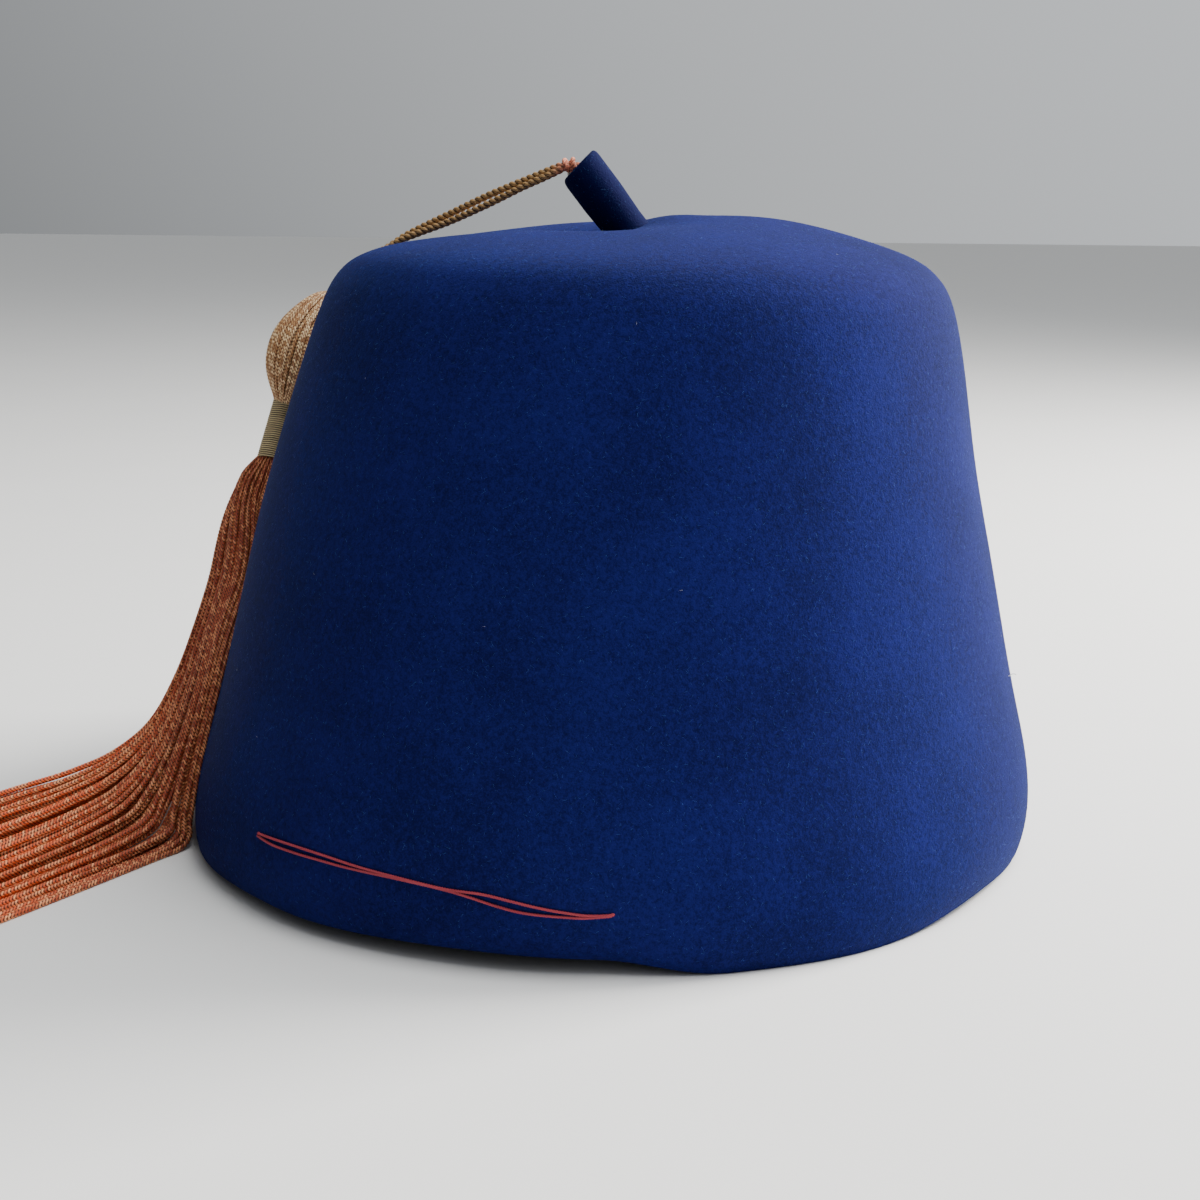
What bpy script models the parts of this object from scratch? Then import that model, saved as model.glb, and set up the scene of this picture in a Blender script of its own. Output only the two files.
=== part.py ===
"""Fez hat: a hollow felt crown, a rolled felt stem, two hanging cords and a long tassel.

The hat rests on a surface at z = 0, with its front towards -Y. The tassel hangs over the
left side at the back, and its skirt runs out over the surface to the front left.
"""
import math

import bmesh
import bpy
import numpy as np
from mathutils import Vector
from mathutils.bvhtree import BVHTree

MM = 0.001
GAP = 0.0003

# Crown
BASE_RADIUS = 0.096
CROWN_HEIGHT = 0.137
FELT = 0.003
RIM_WAVE = 0.0030
RIM_INSET = 0.0026
DENT_DEPTH = 0.0026
CROWN_SIDES = 56
CROWN_ROWS = 17

# Stem on the top of the crown
STEM_RADIUS = 0.0050
STEM_ROOT_RADIUS = 0.0046
STEM_LENGTH = 0.0181
STEM_LEAN = math.radians(38.2)
STEM_CUT = math.radians(8.0)
STEM_EDGE = 0.0006
STEM_BORE_RADIUS = 0.0022
STEM_BORE_DEPTH = 0.0035
STEM_SIDES = 24

# Cords from the stem to the tassel
CORD_RADIUS = 0.00075
CORD_STEP = 0.0024

# Tassel
BULB_RADIUS = 0.0080
BULB_LENGTH = 0.0262
NECK_RADIUS = 0.0020
NECK_LENGTH = 0.0142
BINDING_WALL = 0.0008
ROOT_RADIUS = 0.0056
HEAD_ANGLE = math.radians(163.0)
HEAD_HEIGHT = 0.1035
HEAD_SWING = math.radians(10.0)
SKIRT_LENGTH = 0.150
SKIRT_DEPTH = 0.0050
WALL_CLEARANCE = 0.0008
LOCK_COUNT = 10
LOCK_STATIONS = 15
LOCK_SIDES = 8
HEAD_SIDES = 20

# Control rows of the crown's profile, from the rim up over the shoulder to the centre.
# Columns: radius and lean to the right as shares of BASE_RADIUS, height as a share of CROWN_HEIGHT.
CROWN_PROFILE = (
    # radius, lean, height
    (0.990, 0.000, 0.000),
    (1.026, 0.012, 0.080),
    (0.945, 0.024, 0.250),
    (0.876, 0.028, 0.500),
    (0.800, 0.044, 0.710),
    (0.732, 0.062, 0.890),
    (0.692, 0.059, 0.930),
    (0.630, 0.056, 0.966),
    (0.310, 0.048, 1.012),
    (0.170, 0.041, 1.009),
    (0.000, 0.036, 1.001),
)

# Height of the rim over the surface and its inset, against the angle from +X counted towards +Y.
# Columns: angle in degrees, lift as a share of RIM_WAVE, inset as a share of RIM_INSET.
RIM = (
    # angle, lift, inset
    (0, 0.00, -0.35),
    (30, 0.20, 0.00),
    (56, 0.00, 0.00),
    (79, 0.00, 0.00),
    (110, 0.35, 0.00),
    (148, 0.00, 0.00),
    (173, 0.00, -0.15),
    (200, 0.45, -0.55),
    (225, 0.80, -0.10),
    (256, 1.08, 0.80),
    (269, 1.00, 1.00),
    (285, 0.00, 0.35),
    (304, 0.00, -0.10),
    (325, 0.60, -0.10),
    (345, 0.20, -0.45),
)

# Soft dents, and swellings where the depth is negative.
# Columns: centre to the right and to the back as shares of BASE_RADIUS, up as a share of
# CROWN_HEIGHT, spread as a share of BASE_RADIUS, depth as a share of DENT_DEPTH.
DENTS = (
    # right, back, up, spread, depth
    (-0.26, 0.04, 0.98, 0.25, 1.00),
    (-0.05, -0.01, 0.99, 0.15, 1.15),
    (-0.04, -0.30, 1.00, 0.34, 0.65),
    (0.12, 0.02, 1.00, 0.15, -0.65),
    (0.38, 0.15, 0.99, 0.36, -0.80),
    (0.86, -0.20, 0.62, 0.30, 0.35),
    (-0.30, -0.82, 0.45, 0.45, 0.30),
    (-1.00, -0.22, 0.15, 0.30, 0.40),
)

# Outer form of the head. Columns: place along BULB_LENGTH, radius as a share of BULB_RADIUS.
BULB_PROFILE = (
    # along, radius
    (0.000, 0.290),
    (0.040, 0.470),
    (0.120, 0.660),
    (0.270, 0.860),
    (0.420, 0.970),
    (0.550, 1.000),
    (0.690, 0.940),
    (0.820, 0.760),
    (0.920, 0.540),
)

# Edges and middle line of the skirt, from the neck down to the surface and out over it.
# Columns: right and back as shares of BASE_RADIUS, up as a share of CROWN_HEIGHT.
SKIRT_FRONT = (
    # right, back, up
    (-0.859, 0.203, 0.562),
    (-0.875, 0.146, 0.489),
    (-0.909, 0.052, 0.387),
    (-0.937, -0.085, 0.277),
    (-0.960, -0.185, 0.175),
    (-0.975, -0.262, 0.088),
    (-0.982, -0.325, 0.030),
    (-1.030, -0.400, 0.015),
    (-1.122, -0.545, 0.014),
    (-1.235, -0.718, 0.014),
    (-1.350, -0.900, 0.014),
)
SKIRT_MIDDLE = (
    # right, back, up
    (-0.882, 0.225, 0.566),
    (-0.926, 0.185, 0.489),
    (-0.958, 0.125, 0.395),
    (-0.998, 0.060, 0.285),
    (-1.045, -0.005, 0.180),
    (-1.100, -0.080, 0.100),
    (-1.165, -0.170, 0.055),
    (-1.250, -0.290, 0.036),
    (-1.345, -0.430, 0.028),
    (-1.450, -0.595, 0.024),
    (-1.560, -0.770, 0.022),
)
SKIRT_BACK = (
    # right, back, up
    (-0.914, 0.247, 0.570),
    (-0.956, 0.235, 0.489),
    (-0.992, 0.215, 0.400),
    (-1.038, 0.205, 0.300),
    (-1.092, 0.190, 0.200),
    (-1.160, 0.160, 0.118),
    (-1.240, 0.110, 0.072),
    (-1.335, 0.040, 0.048),
    (-1.450, -0.060, 0.036),
    (-1.560, -0.205, 0.028),
    (-1.670, -0.385, 0.024),
)

# Locks of the skirt from the front edge to the back edge.
# Columns: side step off the sheet as a share of SKIRT_DEPTH, length as a share of SKIRT_LENGTH.
LOCKS = (
    # step, length
    (-0.20, 0.97),
    (0.22, 1.00),
    (-0.24, 0.95),
    (0.20, 0.99),
    (-0.22, 1.00),
    (0.24, 0.96),
    (-0.20, 0.98),
    (0.22, 0.94),
    (-0.24, 0.98),
    (0.18, 0.95),
)

# Routes of the two cords, in millimetres, from the bore of the stem to the top of the tassel.
CORD_UPPER = (
    # right, back, up
    (-5.9, 0.95, 148.9),
    (-7.4, 0.95, 150.0),
    (-8.5, 0.97, 150.5),
    (-9.6, 1.1, 150.65),
    (-10.7, 1.4, 150.5),
    (-12.2, 2.0, 150.1),
    (-14.0, 2.8, 149.45),
    (-16.6, 4.0, 148.4),
    (-19.8, 5.4, 147.15),
    (-24.0, 7.2, 145.5),
    (-28.6, 9.1, 143.6),
    (-37.5, 13.2, 139.5),
    (-43.8, 15.9, 136.6),
    (-48.4, 17.7, 134.3),
    (-52.2, 19.2, 132.4),
    (-55.8, 20.7, 130.4),
    (-60.6, 22.6, 127.4),
    (-65.4, 24.5, 124.3),
    (-68.6, 25.8, 122.3),
    (-70.2, 26.5, 121.2),
    (-71.1, 26.8, 120.2),
)
CORD_LOWER = (
    # right, back, up
    (-5.8, -0.95, 148.7),
    (-7.3, -0.95, 149.65),
    (-8.3, -0.93, 150.1),
    (-9.4, -0.85, 150.25),
    (-10.5, -0.6, 150.0),
    (-12.0, 0.0, 149.3),
    (-13.9, 1.0, 148.4),
    (-16.6, 2.4, 147.2),
    (-19.9, 4.1, 145.8),
    (-24.1, 6.1, 143.8),
    (-28.7, 8.1, 141.6),
    (-37.7, 11.7, 137.7),
    (-44.3, 14.0, 135.3),
    (-48.7, 15.7, 133.6),
    (-52.0, 17.0, 132.4),
    (-56.2, 18.8, 130.2),
    (-61.0, 20.6, 126.9),
    (-65.3, 22.3, 124.1),
    (-68.1, 23.5, 122.2),
    (-69.6, 24.2, 121.2),
    (-70.4, 24.8, 120.2),
)


def clear_scene():
    """Remove the objects that the scene starts with."""
    for old in list(bpy.data.objects):
        bpy.data.objects.remove(old, do_unlink=True)


def material(name, colour, roughness):
    """A Principled material of one colour."""
    made = bpy.data.materials.new(name)
    made.use_nodes = True
    shader = made.node_tree.nodes["Principled BSDF"]
    shader.inputs["Base Color"].default_value = (*colour, 1.0)
    shader.inputs["Roughness"].default_value = roughness
    shader.inputs["Metallic"].default_value = 0.0
    return made


def basis(row, degree, place, knots):
    """Weight of one control row of a B-spline at a place along it."""
    if degree == 0:
        return 1.0 if knots[row] <= place < knots[row + 1] else 0.0
    weight = 0.0
    before = knots[row + degree] - knots[row]
    after = knots[row + degree + 1] - knots[row + 1]
    if before > 0:
        weight += (place - knots[row]) / before * basis(row, degree - 1, place, knots)
    if after > 0:
        weight += (knots[row + degree + 1] - place) / after * basis(row + 1, degree - 1, place, knots)
    return weight


def spline_through_table(table, count):
    """Rows read at even steps from a clamped cubic B-spline over the table's rows."""
    rows = np.array(table, float)
    last = len(rows)
    knots = [0.0] * 3 + list(np.linspace(0.0, 1.0, last - 2)) + [1.0] * 3
    places = np.clip(np.linspace(0.0, 1.0, count), 0.0, 1.0 - 1e-9)
    weights = np.array([[basis(i, 3, p, knots) for i in range(last)] for p in places])
    return weights @ rows


def between(low, high, place, start, end):
    """The value at a place on the line from low at start to high at end."""
    return low + (high - low) * ((place - start) / (end - start))


def smooth_route(points, per_span=12):
    """A centripetal Catmull-Rom curve through the points, as a dense line."""
    p = np.array(points, float)
    p = np.vstack([2 * p[0] - p[1], p, 2 * p[-1] - p[-2]])
    line = []
    for i in range(1, len(p) - 2):
        near = p[i - 1:i + 3]
        steps = np.linalg.norm(np.diff(near, axis=0), axis=1) ** 0.5
        k = np.concatenate([[0.0], np.cumsum(steps)])
        for t in np.linspace(k[1], k[2], per_span, endpoint=False):
            a = [between(near[j], near[j + 1], t, k[j], k[j + 1]) for j in range(3)]
            b = [between(a[j], a[j + 1], t, k[j], k[j + 2]) for j in range(2)]
            line.append(between(b[0], b[1], t, k[1], k[2]))
    line.append(p[-2])
    return np.array(line)


def even_points(line, count, length=None):
    """Points at even distances along a line, which runs straight on where it is too short."""
    steps = np.linalg.norm(np.diff(line, axis=0), axis=1)
    along = np.concatenate([[0.0], np.cumsum(steps)])
    total = along[-1] if length is None else length
    if total > along[-1]:
        onward = line[-1] - line[-2]
        more = (total - along[-1]) / np.linalg.norm(onward)
        line = np.vstack([line, line[-1] + onward * more])
        along = np.append(along, total)
    places = np.linspace(0.0, total, count)
    return np.stack([np.interp(places, along, line[:, k]) for k in range(3)], axis=1)


def profile_row(profile, height):
    """Radius and lean of the crown's profile at a height, in metres."""
    side = profile[: int(np.argmax(profile[:, 2])) + 1]
    radius = np.interp(height, side[:, 2], side[:, 0])
    lean = np.interp(height, side[:, 2], side[:, 1])
    return radius, lean


def crown_profile(count):
    """Radius, lean and height of the crown's outside, in metres."""
    rows = spline_through_table(CROWN_PROFILE, count)
    return rows * np.array([BASE_RADIUS, BASE_RADIUS, CROWN_HEIGHT])


def rim_wave(angle):
    """Lift and inset of the rim at an angle in radians, in metres."""
    degrees = math.degrees(angle) % 360.0
    table = list(RIM) + [(RIM[0][0] + 360, RIM[0][1], RIM[0][2])]
    for (a0, lift0, inset0), (a1, lift1, inset1) in zip(table, table[1:]):
        if a0 <= degrees <= a1:
            ease = 0.5 - 0.5 * math.cos(math.pi * (degrees - a0) / (a1 - a0))
            lift = RIM_WAVE * (lift0 + (lift1 - lift0) * ease)
            return lift, RIM_INSET * (inset0 + (inset1 - inset0) * ease)
    return 0.0, 0.0


def crown_point(row, angle):
    """A point of the crown's outside, with the rim's wave but without the dents."""
    radius, lean, height = row
    lift, inset = rim_wave(angle)
    fade = max(0.0, 1.0 - height / (0.5 * CROWN_HEIGHT)) ** 2
    waved = radius - fade * inset
    return np.array([
        lean + waved * math.cos(angle),
        waved * math.sin(angle),
        height + fade * lift,
    ])


def outward_normals(grid):
    """Unit normals of a grid of rings, whose last ring is nearly a point."""
    around = np.roll(grid, -1, axis=1) - np.roll(grid, 1, axis=1)
    up = np.gradient(grid, axis=0)
    normals = np.cross(around, up)
    return normals / np.linalg.norm(normals, axis=2, keepdims=True)


def press_dents(grid):
    """Push the grid in at each dent, and out at each swelling."""
    normals = outward_normals(grid)
    size = np.array([BASE_RADIUS, BASE_RADIUS, CROWN_HEIGHT])
    pushed = grid.copy()
    for right, back, up, spread, depth in DENTS:
        off = grid - np.array([right, back, up]) * size
        reach = spread * BASE_RADIUS
        fall = np.exp(-2.0 * (off ** 2).sum(axis=2) / reach ** 2)
        pushed -= normals * (depth * DENT_DEPTH * fall)[..., None]
    return pushed


def crown_grids():
    """Rings of the crown's outside and inside, from the rim to a tiny ring at the centre."""
    profile = crown_profile(CROWN_ROWS + 1)
    profile[-1, 0] = 0.02 * STEM_RADIUS
    angles = np.linspace(0.0, 2 * math.pi, CROWN_SIDES, endpoint=False)
    outside = np.array([[crown_point(row, a) for a in angles] for row in profile])
    outside = press_dents(outside)
    inside = outside - FELT * outward_normals(outside)
    flat = outside[0, :, :2] / np.linalg.norm(outside[0, :, :2], axis=1, keepdims=True)
    inside[0, :, :2] = outside[0, :, :2] - FELT * flat
    inside[0, :, 2] = outside[0, :, 2]
    return outside, inside


def mesh_object(name, mesh_data, shader):
    """Turn a bmesh into a named, smoothly shaded object."""
    bmesh.ops.recalc_face_normals(mesh_data, faces=mesh_data.faces)
    bmesh.ops.triangulate(mesh_data, faces=mesh_data.faces)
    mesh = bpy.data.meshes.new(name)
    mesh_data.to_mesh(mesh)
    mesh_data.free()
    mesh.shade_smooth()
    mesh.set_sharp_from_angle(angle=math.radians(40))
    made = bpy.data.objects.new(name, mesh)
    made.data.materials.append(shader)
    bpy.context.scene.collection.objects.link(made)
    return made


def bridge_rings(shape, rings, closed_ends=True):
    """Join rings of points into a tube, with a fan over each end."""
    verts = [[shape.verts.new(p) for p in ring] for ring in rings]
    for low, high in zip(verts, verts[1:]):
        for i in range(len(low)):
            j = (i + 1) % len(low)
            shape.faces.new((low[i], low[j], high[j], high[i]))
    if closed_ends:
        for ring in (verts[0], verts[-1]):
            centre = shape.verts.new(sum((v.co for v in ring), Vector()) / len(ring))
            for i in range(len(ring)):
                shape.faces.new((ring[i], ring[(i + 1) % len(ring)], centre))
    return verts


def build_crown(shader):
    """The hollow felt crown, open below."""
    outside, inside = crown_grids()
    shape = bmesh.new()
    outer = bridge_rings(shape, outside[:-1], closed_ends=False)
    inner = bridge_rings(shape, inside[:-1], closed_ends=False)
    for grid, rings in ((outside, outer), (inside, inner)):
        centre = shape.verts.new(grid[-1].mean(axis=0))
        top = rings[-1]
        for i in range(CROWN_SIDES):
            shape.faces.new((top[i], top[(i + 1) % CROWN_SIDES], centre))
    for i in range(CROWN_SIDES):
        j = (i + 1) % CROWN_SIDES
        shape.faces.new((outer[0][i], outer[0][j], inner[0][j], inner[0][i]))
    return mesh_object("crown", shape, shader)


def surface_tree(piece):
    """A tree of the piece's faces, for finding its surface along a ray."""
    shape = bmesh.new()
    shape.from_mesh(piece.data)
    tree = BVHTree.FromBMesh(shape)
    shape.free()
    return tree


def stem_frame(tree):
    """Centre of the stem's end face, and its axis and two cross directions."""
    lean = CROWN_PROFILE[-1][1] * BASE_RADIUS
    above = Vector((lean, 0.0, CROWN_HEIGHT + STEM_LENGTH))
    seat = tree.ray_cast(above, Vector((0.0, 0.0, -1.0)))[0]
    axis = Vector((-math.sin(STEM_LEAN), 0.0, math.cos(STEM_LEAN)))
    right = Vector((math.cos(STEM_LEAN), 0.0, math.sin(STEM_LEAN)))
    return seat + axis * STEM_LENGTH, axis, right, Vector((0.0, 1.0, 0.0))


def build_stem(tree, shader):
    """The leaning roll of felt, cut square at its end, with a bore for the cords."""
    end, axis, right, back = stem_frame(tree)
    seat_gap = GAP / math.cos(STEM_LEAN)

    def ring(radius, along, cut=0.0):
        turn = [2 * math.pi * i / STEM_SIDES for i in range(STEM_SIDES)]
        tilted = right + axis * math.tan(cut)
        return [end + axis * along + (tilted * math.cos(a) + back * math.sin(a)) * radius for a in turn]

    def seated(points):
        return [tree.ray_cast(p, -axis)[0] + axis * seat_gap for p in points]

    rings = [
        seated(ring(0.45 * STEM_ROOT_RADIUS, 0.0)),
        seated(ring(STEM_ROOT_RADIUS, 0.0)),
        ring(0.5 * (STEM_RADIUS + STEM_ROOT_RADIUS), -0.45 * STEM_LENGTH),
        ring(STEM_RADIUS, -STEM_EDGE, STEM_CUT),
        ring(STEM_RADIUS - 0.3 * STEM_EDGE, -0.3 * STEM_EDGE, STEM_CUT),
        ring(STEM_RADIUS - STEM_EDGE, 0.0, STEM_CUT),
        ring(STEM_BORE_RADIUS, 0.0, STEM_CUT),
        ring(STEM_BORE_RADIUS, -STEM_BORE_DEPTH),
    ]
    shape = bmesh.new()
    bridge_rings(shape, rings)
    return mesh_object("stem", shape, shader)


def build_cord(name, points, shader):
    """One hanging cord, as a round tube along its route."""
    line = smooth_route(np.array(points) * MM)
    length = np.linalg.norm(np.diff(line, axis=0), axis=1).sum()
    route = even_points(line, int(round(length / CORD_STEP)) + 1)
    curve = bpy.data.curves.new(name, "CURVE")
    curve.dimensions = "3D"
    curve.bevel_depth = CORD_RADIUS
    curve.bevel_resolution = 2
    curve.resolution_u = 1
    curve.use_fill_caps = True
    spline = curve.splines.new("POLY")
    spline.points.add(len(route) - 1)
    for point, place in zip(spline.points, route):
        point.co = (*place, 1.0)
    made = bpy.data.objects.new(name, curve)
    made.data.materials.append(shader)
    bpy.context.scene.collection.objects.link(made)
    return made


def head_frame():
    """Top of the bulb, the way down along the head, and two cross directions."""
    profile = crown_profile(120)
    radius, lean = profile_row(profile, HEAD_HEIGHT)
    step = 0.05 * CROWN_HEIGHT
    slope = math.atan2(profile_row(profile, HEAD_HEIGHT - step)[0] - radius, step)
    out = Vector((math.cos(HEAD_ANGLE), math.sin(HEAD_ANGLE), 0.0))
    forward = Vector((-math.sin(HEAD_ANGLE), math.cos(HEAD_ANGLE), 0.0))
    up = Vector((0.0, 0.0, 1.0))
    wall = Vector((lean, 0.0, HEAD_HEIGHT)) + out * radius
    away = out * math.cos(slope) + up * math.sin(slope)
    along_wall = out * math.sin(slope) - up * math.cos(slope)
    down = along_wall * math.cos(HEAD_SWING) + forward * math.sin(HEAD_SWING)
    widest = max(BULB_PROFILE, key=lambda row: row[1])[0] * BULB_LENGTH
    top = wall + away * (BULB_RADIUS + 2 * GAP) - down * widest
    side = down.cross(up).normalized()
    return top, down, side, down.cross(side).normalized()


def head_ring(frame, along, radius, sides=HEAD_SIDES):
    """A ring of points round the head's axis."""
    top, down, side, across = frame
    turn = [2 * math.pi * i / sides for i in range(sides)]
    return [top + down * along + (side * math.cos(a) + across * math.sin(a)) * radius for a in turn]


def build_head(frame, shader):
    """Bulb, neck core and the swelling under the binding, in one turned body."""
    neck_start = BULB_LENGTH
    neck_end = neck_start + NECK_LENGTH
    root = ROOT_RADIUS
    rings = [head_ring(frame, along * BULB_LENGTH, share * BULB_RADIUS) for along, share in BULB_PROFILE]
    rings.append(head_ring(frame, neck_start, NECK_RADIUS))
    rings.append(head_ring(frame, neck_end, NECK_RADIUS))
    rings.append(head_ring(frame, neck_end + 0.08 * root, 0.72 * root))
    rings.append(head_ring(frame, neck_end + 0.50 * root, root))
    rings.append(head_ring(frame, neck_end + 1.50 * root, 0.75 * root))
    shape = bmesh.new()
    bridge_rings(shape, rings)
    return mesh_object("tassel", shape, shader)


def build_binding(frame, shader):
    """The wound sleeve round the neck."""
    start = BULB_LENGTH + GAP
    end = BULB_LENGTH + NECK_LENGTH - GAP
    inner = NECK_RADIUS + GAP
    outer = inner + BINDING_WALL
    edge = 0.3 * BINDING_WALL
    rings = [
        head_ring(frame, start, inner),
        head_ring(frame, start, outer - edge),
        head_ring(frame, start + edge, outer),
        head_ring(frame, end - edge, outer),
        head_ring(frame, end, outer - edge),
        head_ring(frame, end, inner),
    ]
    shape = bmesh.new()
    bridge_rings(shape, rings + rings[:1], closed_ends=False)
    bmesh.ops.remove_doubles(shape, verts=shape.verts, dist=1e-7)
    return mesh_object("neck_binding", shape, shader)


def skirt_guides(frame):
    """Front edge, middle and back edge of the skirt, as dense lines that start in the neck."""
    top, down, side, across = frame
    size = np.array([BASE_RADIUS, BASE_RADIUS, CROWN_HEIGHT])
    neck = np.array(top + down * (BULB_LENGTH + NECK_LENGTH + 0.3 * BULB_RADIUS))
    guides = []
    for table in (SKIRT_FRONT, SKIRT_MIDDLE, SKIRT_BACK):
        points = np.array(table) * size
        shift = neck - np.array(SKIRT_MIDDLE[0]) * size
        fade = np.clip(1.0 - np.arange(len(points)) / 4.0, 0.0, 1.0)
        guides.append(smooth_route(points + fade[:, None] * shift))
    return guides


def lock_route(guides, share, length, count):
    """Centre line of a lock between the front edge (share 0) and the back edge (share 1)."""
    front, middle, back = guides
    weights = (2 * (share - 0.5) * (share - 1.0), -4 * share * (share - 1.0), 2 * share * (share - 0.5))
    line = weights[0] * front + weights[1] * middle + weights[2] * back
    return even_points(line, count, length)


def clear_of_wall(point, profile):
    """The point, moved straight out where it lies nearer the crown than the clearance."""
    radius, lean = profile_row(profile, point.z)
    angle = math.atan2(point.y, point.x - lean)
    wall = crown_point((radius, lean, point.z), angle)
    reach = math.hypot(wall[0] - lean, wall[1]) + WALL_CLEARANCE
    reach = max(reach, math.hypot(point.x - lean, point.y))
    return Vector((lean + reach * math.cos(angle), reach * math.sin(angle), point.z))


def build_lock(index, guides, profile, shader):
    """One lock of the skirt, as a flattened tube that tapers to its cut end."""
    step, length_share = LOCKS[index]
    share = index / (LOCK_COUNT - 1)
    length = SKIRT_LENGTH * length_share
    route = lock_route(guides, share, length, LOCK_STATIONS)
    nearby = lock_route(guides, share + 0.02, length, LOCK_STATIONS)
    before = lock_route(guides, share - 0.02, length, LOCK_STATIONS)
    spread = np.linalg.norm(nearby - before, axis=1) / 0.04
    rings = []
    for i, place in enumerate(route):
        along = Vector(route[min(i + 1, LOCK_STATIONS - 1)] - route[max(i - 1, 0)]).normalized()
        across = Vector(nearby[i] - before[i])
        across = (across - along * across.dot(along)).normalized()
        off = along.cross(across).normalized()
        if off.z < 0:
            off = -off
        half_width = 0.5 * NECK_RADIUS + 0.62 * spread[i] / (LOCK_COUNT - 1)
        ends = min(1.0, 0.45 + 0.35 * i)
        half_depth = 0.36 * SKIRT_DEPTH * ends
        centre = Vector(place) + off * step * SKIRT_DEPTH * ends
        centre.z = max(centre.z, half_depth * abs(off.z) + half_width * abs(across.z) + GAP)
        turn = [2 * math.pi * k / LOCK_SIDES for k in range(LOCK_SIDES)]
        ring = [centre + across * math.cos(a) * half_width + off * math.sin(a) * half_depth for a in turn]
        rings.append([clear_of_wall(point, profile) for point in ring])
    shape = bmesh.new()
    bridge_rings(shape, rings)
    made = mesh_object("lock_" + str(index), shape, shader)
    made.hide_render = True
    made.display_type = "WIRE"
    return made


def build_tassel(frame, shader):
    """The head with every lock of the skirt fused to it."""
    head = build_head(frame, shader)
    guides = skirt_guides(frame)
    profile = crown_profile(120)
    for index in range(LOCK_COUNT):
        lock = build_lock(index, guides, profile, shader)
        union = head.modifiers.new("fuse_" + str(index), "BOOLEAN")
        union.operation = "UNION"
        union.solver = "EXACT"
        union.object = lock
    return head


def main():
    """Build every piece of the hat."""
    clear_scene()
    felt = material("blue_felt", (0.012, 0.035, 0.18), 0.95)
    dark_felt = material("blue_felt_stem", (0.008, 0.022, 0.12), 0.95)
    cord = material("copper_cord", (0.28, 0.12, 0.05), 0.55)
    skirt = material("copper_tassel", (0.38, 0.12, 0.05), 0.55)
    thread = material("beige_thread", (0.27, 0.20, 0.11), 0.60)
    crown = build_crown(felt)
    tree = surface_tree(crown)
    build_stem(tree, dark_felt)
    build_cord("cord_upper", CORD_UPPER, cord)
    build_cord("cord_lower", CORD_LOWER, cord)
    frame = head_frame()
    build_tassel(frame, skirt)
    build_binding(frame, thread)


main()
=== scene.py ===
"""The dressed fez: felt crown and stem, twisted cords, knitted tassel and red tacking thread."""

import math

import bmesh
import bpy
import numpy as np
from mathutils import Matrix, Vector
from mathutils.bvhtree import BVHTree


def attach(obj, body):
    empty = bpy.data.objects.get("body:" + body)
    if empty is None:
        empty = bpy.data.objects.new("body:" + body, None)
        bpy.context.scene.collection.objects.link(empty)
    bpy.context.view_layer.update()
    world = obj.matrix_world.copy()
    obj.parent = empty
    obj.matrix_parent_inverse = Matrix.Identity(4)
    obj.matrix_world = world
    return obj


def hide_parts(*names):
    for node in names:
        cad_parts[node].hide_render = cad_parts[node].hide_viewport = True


bl_info = {
    "name": "Felt fez with a knitted tassel",
    "version": (1, 0, 0),
    "blender": (4, 5, 0),
    "location": "3D View > Sidebar > Fez",
    "description": "Builds a felt fez with twisted cords and a knitted tassel over its solid frame",
    "category": "Add Mesh",
}

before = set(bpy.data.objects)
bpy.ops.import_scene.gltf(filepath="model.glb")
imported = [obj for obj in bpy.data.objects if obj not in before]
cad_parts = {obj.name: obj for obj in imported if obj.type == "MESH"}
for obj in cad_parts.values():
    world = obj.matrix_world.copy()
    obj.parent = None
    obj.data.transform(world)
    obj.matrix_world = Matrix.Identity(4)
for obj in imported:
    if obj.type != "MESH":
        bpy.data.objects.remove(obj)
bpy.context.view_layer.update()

MM = 0.001

# Sizes and tables that the solids are built from, repeated here.
BASE_RADIUS = 0.096
CROWN_HEIGHT = 0.137
FELT = 0.003
RIM_WAVE = 0.0030
RIM_INSET = 0.0026
DENT_DEPTH = 0.0026
STEM_RADIUS = 0.0050
STEM_ROOT_RADIUS = 0.0046
STEM_LENGTH = 0.0181
STEM_LEAN = math.radians(38.2)
STEM_CUT = math.radians(8.0)
STEM_BORE_RADIUS = 0.0022
STEM_BORE_DEPTH = 0.0035
BULB_RADIUS = 0.0080
BULB_LENGTH = 0.0262
NECK_RADIUS = 0.0020
NECK_LENGTH = 0.0142
ROOT_RADIUS = 0.0056
HEAD_ANGLE = math.radians(163.0)
HEAD_HEIGHT = 0.1035
HEAD_SWING = math.radians(10.0)
SKIRT_LENGTH = 0.150
GAP = 0.0003
CROWN_SIZE = np.array([BASE_RADIUS, BASE_RADIUS, CROWN_HEIGHT])

# Control rows of the crown's profile, from the rim to the centre, as shares of its sizes.
CROWN_PROFILE = (
    # radius, lean, height
    (0.990, 0.000, 0.000), (1.026, 0.012, 0.080), (0.945, 0.024, 0.250), (0.876, 0.028, 0.500),
    (0.800, 0.044, 0.710), (0.732, 0.062, 0.890), (0.692, 0.059, 0.930), (0.630, 0.056, 0.966),
    (0.310, 0.048, 1.012), (0.170, 0.041, 1.009), (0.000, 0.036, 1.001),
)

# Lift and inset of the rim, as shares of RIM_WAVE and RIM_INSET.
RIM = (
    # angle, lift, inset
    (0, 0.00, -0.35), (30, 0.20, 0.00), (56, 0.00, 0.00), (79, 0.00, 0.00), (110, 0.35, 0.00),
    (148, 0.00, 0.00), (173, 0.00, -0.15), (200, 0.45, -0.55), (225, 0.80, -0.10),
    (256, 1.08, 0.80), (269, 1.00, 1.00), (285, 0.00, 0.35), (304, 0.00, -0.10), (325, 0.60, -0.10),
    (345, 0.20, -0.45),
)

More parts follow.
